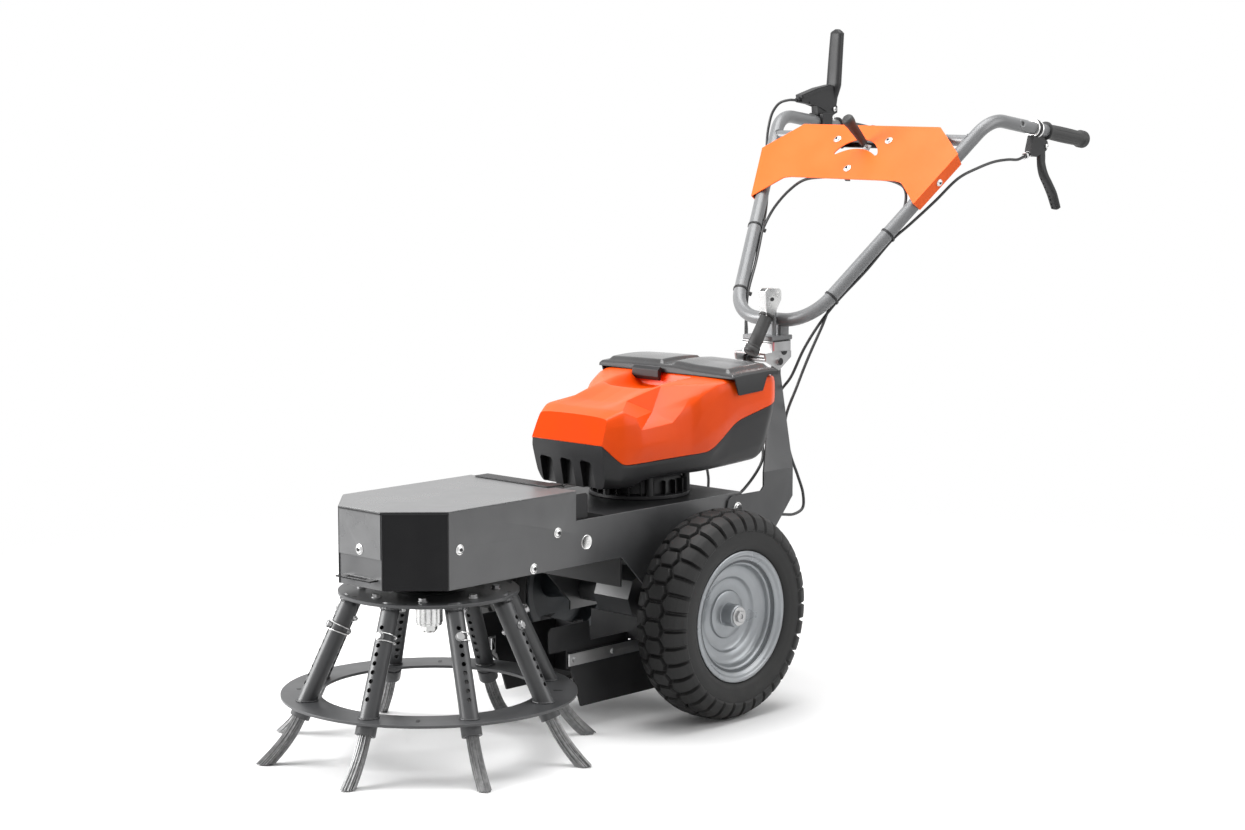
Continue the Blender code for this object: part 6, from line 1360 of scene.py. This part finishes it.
def deadman():
    """The dead-man lever's bracket, ribs, rivets and the upright padded blade."""
    y, z = DEADMAN_PIVOT
    x = -TOP.x
    softened("deadman_bracket", "handlebar", 0.0016)
    ridge = [(y - 0.113, z + 0.0300), (y - 0.060, z + 0.0445), (y - 0.018, z + 0.0520),
             (y - 0.018, z + 0.0470), (y - 0.060, z + 0.0395), (y - 0.112, z + 0.0245)]
    web = [(y - 0.090, z + 0.0135), (y - 0.052, z + 0.0040), (y - 0.030, z - 0.0050),
           (y - 0.018, z + 0.0030), (y - 0.046, z + 0.0085), (y - 0.088, z + 0.0180)]
    for name, side in (("near", 1), ("far", -1)):
        low, high = sorted((x + side * 0.0088, x + side * 0.0108))
        part = merged(prism(ridge, low, high, "X"), prism(web, low, high, "X"))
        finished(name + "_bracket_ribs", part, "handlebar", "black_plastic", (), 30, 0.0008, 3)
    screws("deadman_rivets", "deadman_sockets", "handlebar",
           [((x + 0.0105, y + shift, z + height), (1, 0, 0), 0.0050, 0.0030)
            for shift, height in ((0.0, 0.0), (-0.004, -0.021))])
    outline = [(0.9020, 1.1010), (0.9380, 1.0980), (0.9400, 1.1400), (0.9040, 1.1420)]
    holder = mesh_of("clamp", prism(rounded_outline(outline, [0.004] * 4), x - 0.0205, x + 0.0205, "X"))
    start = Vector((x, 0.86, TOP.z + (0.86 - TOP.y) * ALONG_GRIP.z / ALONG_GRIP.y))
    bore = mesh_of("bore", placed(rod(0.0, 0.12, 0.0142, 40), onto(ALONG_GRIP, start)))
    finished("deadman_clamp", carved(holder, [bore]), "handlebar", "black_plastic", (), 30, 0.0015, 3)
    path = smooth_path([(x, y + forward, z + up) for forward, up in (
        (-0.001, -0.014), (0.0030, 0.006), (0.0085, 0.0480), (0.0130, 0.1000), (0.0170, 0.1450),
        (0.0205, 0.1790))])
    share = np.linspace(0.0, 1.0, len(path))
    taper = np.clip((1 - share) / 0.045, 0.0, 1.0) ** 0.5
    taper[-1] = 0.35
    wide = np.interp(share, [0.0, 0.12, 0.30, 0.42, 1.0], [0.0050, 0.0085, 0.0100, 0.0185, 0.0165]) * taper
    deep = np.interp(share, [0.0, 0.12, 0.35, 0.7, 1.0], [0.0055, 0.0085, 0.0095, 0.0095, 0.0090]) * taper
    finished("deadman_blade", bar(path, wide, deep, 3.0), "deadman_lever", "black_plastic",
             ("deadman_lever",), 40)


# The hand levers' cables run below the clamp between the cheeks and into the beam.
LOW_ROUTE = [(0.0600, 0.4040, 0.6120), (0.0420, 0.3950, 0.5850), (0.0450, 0.3550, 0.5450),
             (0.0750, 0.2980, 0.5000), (0.1120, 0.2530, 0.4604), (0.1190, 0.1920, 0.4130),
             (0.1170, 0.1600, 0.3970), (0.1120, 0.1300, 0.3880)]

# The speed lever's cables run from the clamp down into the beam.
SPEED_LOW_ROUTE = [(0.0780, 0.3660, 0.5260), (0.1180, 0.3357, 0.4647), (0.1240, 0.3520, 0.4214),
                   (0.1280, 0.3651, 0.3825), (0.1300, 0.3620, 0.3540), (0.1280, 0.3380, 0.3440),
                   (0.1240, 0.3000, 0.3470), (0.1180, 0.2350, 0.3520), (0.1040, 0.1500, 0.3620)]


def leg_line(at, side, off, beside=0.0):
    """A place just behind a leg, where a cable lies along it, beside its middle by a distance."""
    return tuple(plane_point(side * (leg_half(at) + beside), at, off))


def crossing(name, mesh, node):
    """A cable piece in the imported frame, on no body, standing in for a CAD node, which it hides."""
    mesh.transform(Matrix.Translation((0, AXLE_Y, 0)))
    dressed(mesh, "cable_sheath", 50)
    piece = linked(name, mesh)
    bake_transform(piece)
    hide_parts(node)


def low_cable(name, path, node):
    """A cable's lower end, which runs into the beam, as a sheath along its path."""
    sheath = mesh_of("sheath", carried(path, circle(CABLE_RADIUS, 16), up=(1, 0, 0)))
    crossing(name, sheath, node)


def cables():
    """The control cables along the CAD's routes, with their lower ends and ties."""
    beside = CABLE_RADIUS * 1.3
    paired = -math.sqrt((TUBE_RADIUS + CABLE_RADIUS + 0.0003) ** 2 - beside ** 2)
    y, z = BRAKE_PIVOT
    brake_route = [
        (0.2831, y - 0.0723, z - 0.0211), (0.2831, y - 0.094, z - 0.0262), (0.2821, y - 0.127, z - 0.0255),
        (0.2771, y - 0.170, z - 0.0290), (0.2691, y - 0.213, z - 0.0400), (0.2531, y - 0.262, z - 0.0610),
        (0.2281, y - 0.309, z - 0.1080), (0.2031, y - 0.360, z - 0.1545),
        leg_line(0.173, 1, paired, beside), leg_line(0.090, 1, paired - 0.002, beside + 0.001),
        leg_line(0.000, 1, paired, beside), (0.1010, 0.4400, 0.7180), (0.0770, 0.4250, 0.6700), *LOW_ROUTE]
    y, z = DEADMAN_PIVOT
    deadman_route = [
        (-0.2831, y - 0.1243, z + 0.0209), (-0.2851, y - 0.1480, z + 0.0215),
        (-0.2951, y - 0.1680, z + 0.0150), (-0.3051, y - 0.1800, z - 0.0050),
        (-0.3101, y - 0.1870, z - 0.0350), (-0.3081, y - 0.1950, z - 0.0640),
        (-0.3021, y - 0.2030, z - 0.0890), leg_line(0.345, -1, -0.027, 0.020),
        leg_line(0.250, -1, -0.0233), leg_line(0.173, -1, -0.0095, -0.0150),
        leg_line(0.090, -1, -0.0105, -0.0165), leg_line(0.000, -1, -0.0095, -0.0150),
        (-0.0990, 0.4490, 0.7250), (-0.0880, 0.4350, 0.6900), (-0.0750, 0.4180, 0.6510),
        *[(-px, py, pz) for px, py, pz in LOW_ROUTE]]
    at = 0.309 - CABLE_RADIUS / math.cos(math.pi / 6) - 0.0003
    near_half = [tuple(plane_point(*spot)) for spot in (
        (0.0, at + 0.010, 0.0030), (0.060, at + 0.010, 0.0020), (0.118, at + 0.008, -0.002),
        (0.152, 0.300, -0.007), (0.171, 0.262, -0.012), (0.171, 0.222, -0.016))]
    near_half += [leg_line(0.160, 1, paired, -beside), leg_line(0.090, 1, paired - 0.002, -beside - 0.001),
                  leg_line(0.000, 1, paired, -beside), (0.1120, 0.4400, 0.7180), (0.0960, 0.4200, 0.6600),
                  (0.0840, 0.3980, 0.6000), *SPEED_LOW_ROUTE]
    far_half = [tuple(plane_point(*spot)) for spot in (
        (0.0, at + 0.010, 0.0030), (0.060, at + 0.009, 0.0020), (0.118, at, -0.001),
        (0.145, 0.280, -0.005), (0.164, 0.241, -0.010), (0.170, 0.209, -0.014))]
    far_half += [leg_line(0.160, 1, -0.0142, -0.0104), leg_line(0.090, 1, -0.0155, -0.0115),
                 leg_line(0.000, 1, -0.0142, -0.0104), (0.1020, 0.4520, 0.7250), (0.0930, 0.4440, 0.6900),
                 (0.0860, 0.4250, 0.6510), (0.0830, 0.4040, 0.6000), *SPEED_LOW_ROUTE]
    speed_route = [(-px, py, pz) for px, py, pz in far_half[::-1]] + near_half[1:]
    for name, route in (("brake_cable", brake_route), ("deadman_cable", deadman_route),
                        ("speed_cable", speed_route)):
        path = smooth_path(route, 10)
        high = np.flatnonzero(path[:, 2] > SPLIT_Z)
        first, last = high[0], high[-1]
        if first > 0:
            low_cable(name + "_right_end", path[:first + 1][::-1], name)
        low_cable(name + "_left_end" if first > 0 else name + "_end", path[last:], name)
        sheath = mesh_of("sheath", carried(path[first:last + 1], circle(CABLE_RADIUS, 16), up=(1, 0, 0)))
        crossing(name + "_sheath", sheath,
                 name)
    ties = []
    for side in (-1, 1):
        for spot in (0.173, 0.004):
            middle = plane_point(side * leg_half(spot), spot)
            along = (PLANE.to_3x3() @ Vector((side * math.sin(SLANT), math.cos(SLANT), 0.0))).normalized()
            turn = even_turn(64)
            across = along.cross(FACE).normalized()
            back = np.maximum(0.0, -np.sin(turn)) ** 3
            reach = TUBE_RADIUS + 0.0008 + back * 0.0066
            line = [tuple(middle + across * (r * math.cos(a)) + FACE * (r * math.sin(a)))
                    for r, a in zip(reach, turn)]
            strap = [(-0.0007, -0.0022), (0.0007, -0.0022), (0.0007, 0.0022), (-0.0007, 0.0022)]
            ties.append(carried(line, strap, closed=True, up=tuple(along)))
            head = block((-0.0028, -0.0035), (0.0028, 0.0035), 0.0, 0.0060)
            stand = onto(-FACE + across * side * -0.9, middle - FACE * 0.0160 + across * side * -0.0120)
            ties.append(placed(head, stand))
    finished("cable_ties", merged(*ties), "handlebar", "black_plastic", (), 40, 0.0002)


CLAMP = Vector((0.0240, 0.3925, 0.7830))


def clamp():
    """The handlebar's clamp: pivoting bracket, toothed plates, saddle, bolt and the locking lever."""
    softened("clamp_bracket", "handle_bracket", 0.0008)
    softened("clamp_plate", "handlebar", 0.0008)
    teeth = [prism([(x - 0.0011, 0.6852), (x, 0.6835), (x + 0.0011, 0.6852)], 0.3655, 0.3685, "Y")
             for x in np.linspace(-0.037, 0.037, 22)]
    teeth += [prism([(y - 0.0011, 0.6874), (y + 0.0011, 0.6874), (y, 0.6856)], 0.0398, 0.0412, "X")
              for y in np.linspace(0.3720, 0.4240, 16)]
    finished("clamp_teeth", merged(*teeth), "handle_bracket", "black_paint", (), 20)
    # Painted shade: a black disc for the shade in the pivot's recess.
    hole = placed(rod(0.0, 0.0015, 0.0072, 32), onto((1, 0, 0), (0.0476, 0.3860, 0.6460)))
    finished("pivot_recess", hole, "handle_bracket", "black_paint", (), 40)
    # Painted shade: a black half disc for the shade in the ear's notch.
    notch = [(0.4050 + 0.0090 * math.cos(a), 0.6655 + 0.0080 * math.sin(a))
             for a in np.linspace(math.pi, 2 * math.pi, 16)]
    finished("ear_notch", prism(notch, 0.0410, 0.0425, "X"), "handle_bracket", "black_paint", (), 40)
    pad = block((0.3700, 0.6680), (0.3745, 0.6860), 0.0400, 0.0408, "X")
    finished("clamp_pad", pad, "handle_bracket", "pad_paint", (), 40)
    x, top_y, top_z = CLAMP.x, 0.3715, 0.7424
    outline = [(top_y - 0.014, top_z - 0.002), (top_y + 0.011, top_z - 0.002), (0.4045, 0.772),
               (0.4045, 0.788), (0.3990, 0.7950), (0.3600, 0.7970), (0.3525, 0.7920)]
    outline = rounded_outline(outline, [0.001, 0.001, 0.006, 0.008, 0.006, 0.004, 0.003])
    back = [(top_y - 0.014, top_z - 0.002), (top_y - 0.0115, top_z - 0.002), (0.3550, 0.7915),
            (0.3525, 0.7915)]
    channel = merged(prism(outline, x + 0.0070, x + 0.0095, "X"), prism(outline, x - 0.0095, x - 0.0070, "X"),
                     prism(back, x - 0.0090, x + 0.0090, "X"))
    finished("lever_channel", channel, "clamp_lever", "bright_zinc", (), 30, 0.0007)
    pin = lathe([(x + 0.0094, 0.0), (x + 0.0094, 0.0052), (x + 0.0110, 0.0052), (x + 0.0118, 0.0044),
                 (x + 0.0118, 0.0)], 24)
    pin = placed(pin, onto((1, 0, 0), (0, CLAMP.y, CLAMP.z)))
    finished("lever_pin", pin, "clamp_lever", "bright_zinc", (), 40)
    # Painted shade: a black oval on the channel for the shade in its hole.
    oval = [(0.3975 + 0.0062 * math.cos(a), 0.7800 + 0.0040 * math.sin(a)) for a in even_turn(24)]
    hole = placed(prism(oval, x + 0.0094, x + 0.0098, "X"), Matrix.Translation((0, -0.0230, -0.0060)))
    finished("channel_hole", hole, "clamp_lever", "black_paint", (), 40)
    along = Vector((0, 0.3191 - top_y, 0.6679 - top_z))
    length = along.length
    sleeve = [(0.0020, 0.0), (0.0020, 0.0158), (0.0030, 0.0168), (0.0058, 0.0170), (0.0070, 0.0162),
              (0.0076, 0.0138), (0.0120, 0.0134), (length * 0.55, 0.0138), (length - 0.0180, 0.0142),
              (length - 0.0165, 0.0132), (length - 0.0150, 0.0132), (length - 0.0140, 0.0156),
              (length - 0.0110, 0.0160), (length - 0.0095, 0.0152), (length - 0.0085, 0.0160),
              (length - 0.0010, 0.0160), (length + 0.0012, 0.0148), (length + 0.0020, 0.0122),
              (length + 0.0012, 0.0110), (length + 0.0020, 0.0098), (length + 0.0020, 0.0)]
    finished("clamp_grip", placed(lathe(sleeve, 48), onto(along, (x, top_y, top_z))), "clamp_lever",
             "grip_rubber", ("clamp_lever",), 40)


# Studio

def fitted_camera():
    """The photograph's camera, as it was fitted: its turns, its place and its lens."""
    azimuth, pitch, roll = (math.radians(angle) for angle in (42.882, 7.563, 0.139))
    forward = Vector((-math.sin(azimuth) * math.cos(pitch), math.cos(azimuth) * math.cos(pitch),
                      -math.sin(pitch)))
    right = Vector((math.cos(azimuth), math.sin(azimuth), 0.0))
    up = right.cross(forward)
    side = right * math.cos(roll) + up * math.sin(roll)
    lift = up * math.cos(roll) - right * math.sin(roll)
    data = bpy.data.cameras.new("camera")
    data.sensor_width = 36.0
    data.lens = 77.76
    data.clip_end = 60.0
    camera = linked("camera", data)
    turn = Matrix((side, lift, -forward)).transposed().to_4x4()
    camera.matrix_world = Matrix.Translation((3.5481, -3.8599 + AXLE_Y, 1.2636)) @ turn
    bpy.context.scene.camera = camera


def pale_floor():
    """A pale disc that fades out at its edge."""
    points, faces = lathe([(0.0, radius) for radius in (0.0, 0.6, 1.2, 1.8, 2.4)], 96)
    mesh = bpy.data.meshes.new("floor")
    mesh.from_pydata(points.tolist(), [], faces)
    bm = bmesh.new()
    bm.from_mesh(mesh)
    bmesh.ops.remove_doubles(bm, verts=bm.verts, dist=1e-6)
    for face in bm.faces:
        if face.normal.z < 0:
            face.normal_flip()
    bm.to_mesh(mesh)
    bm.free()
    floor = linked("floor", mesh)
    material = bpy.data.materials.new("floor")
    material.use_nodes = True
    mesh.materials.append(material)
    tree = material.node_tree
    shader = preset(tree.nodes["Principled BSDF"],
                    {"Base Color": (0.86, 0.86, 0.86, 1.0), "Roughness": 0.75, "Specular IOR Level": 0.2})
    clear = new_node(tree, "BsdfTransparent")
    mix = new_node(tree, "MixShader")
    place = new_node(tree, "TexCoord")
    size = new_node(tree, "VectorMath", operation="LENGTH")
    fade = new_node(tree, "MapRange", {"From Min": 0.9, "From Max": 2.3}, interpolation_type="SMOOTHSTEP")
    wire(tree, (place, "Object", size, 0), (size, "Value", fade, "Value"), (fade, "Result", mix, "Fac"),
         (shader, "BSDF", mix, 1), (clear, "BSDF", mix, 2),
         (mix, "Shader", tree.nodes["Material Output"], "Surface"))


def graded(tree, place, direction, low, high, dark, bright):
    """A strength that runs between two values by how far the sky lies towards a direction."""
    dot = new_node(tree, "VectorMath", {1: direction}, operation="DOT_PRODUCT")
    spread = new_node(tree, "MapRange", interpolation_type="SMOOTHSTEP",
                      values={"From Min": low, "From Max": high, "To Min": dark, "To Max": bright})
    wire(tree, (place, "Generated", dot, 0), (dot, "Value", spread, "Value"))
    return spread


def sky():
    """The world: white where the camera or a mirroring surface sees it, and graded where it only lights."""
    world = bpy.data.worlds.new("studio")
    bpy.context.scene.world = world
    world.use_nodes = True
    tree = world.node_tree
    tree.nodes.clear()
    output = new_node(tree, "OutputWorld")
    direct, seen = (new_node(tree, "Background", {"Color": (1.0, 1.0, 1.0, 1.0)}) for _ in range(2))
    mix = new_node(tree, "MixShader")
    path = new_node(tree, "LightPath")
    place = new_node(tree, "TexCoord")
    sides = graded(tree, place, (-0.733, -0.680, 0.0), -0.9, 0.9, 0.42, 1.15)
    behind = graded(tree, place, (0.680, -0.733, -0.05), 0.35, 0.92, 1.0, 0.06)
    both = new_node(tree, "Math", operation="MULTIPLY")
    mirrored, plain = (new_node(tree, "Math", operation="ADD", use_clamp=True) for _ in range(2))
    wire(tree, (sides, "Result", both, 0), (behind, "Result", both, 1), (both, "Value", direct, "Strength"),
         (path, "Is Glossy Ray", mirrored, 0), (path, "Is Transmission Ray", mirrored, 1),
         (path, "Is Camera Ray", plain, 0), (mirrored, "Value", plain, 1), (plain, "Value", mix, "Fac"),
         (direct, "Background", mix, 1), (seen, "Background", mix, 2), (mix, "Shader", output, "Surface"))


def lamp(name, place, aim, size, power):
    """A square area lamp that looks at a point."""
    light = bpy.data.lights.new(name, "AREA")
    light.size = size
    light.energy = power
    thing = linked(name, light)
    look = (Vector(aim) - Vector(place)).to_track_quat("-Z", "Y")
    thing.matrix_world = Matrix.Translation(Vector(place)) @ look.to_matrix().to_4x4()


def studio():
    """The camera, the floor, the sky and the soft lamps."""
    fitted_camera()
    pale_floor()
    sky()
    lamp("key", (-2.3, -2.9, 1.7), (0, -0.2, 0.4), 2.4, 215)
    lamp("fill", (3.0, 1.6, 2.0), (0, 0, 0.5), 2.2, 45)
    lamp("top", (0.0, 0.2, 3.6), (0, 0, 0.4), 2.6, 110)
    bpy.context.scene.view_settings.view_transform = "Standard"


SOFT_NODES = {
    "chassis": ["left_side_plate", "right_side_plate", "front_wall", "top_cover", "motor_deck", "cross_wall",
                "guard_frame", "left_skirt", "right_skirt", "left_skirt_strip", "right_skirt_strip",
                "spindle_housing", "left_column_cheek", "right_column_cheek", "gearbox"],
    "lid_latch": ["lid_latch"],
}

dress_frame()
for soft_body, soft_nodes in SOFT_NODES.items():
    for soft_node in soft_nodes:
        softened(soft_node, soft_body)
wheels()
brush()
motor_cover()
motor_base()
battery_lid()
deck_brackets()
arm_gaps()
repaint_faces()
beam_screws()
handlebar()
grips()
console()
speed_lever()
brake()
deadman()
clamp()
cables()
studio()
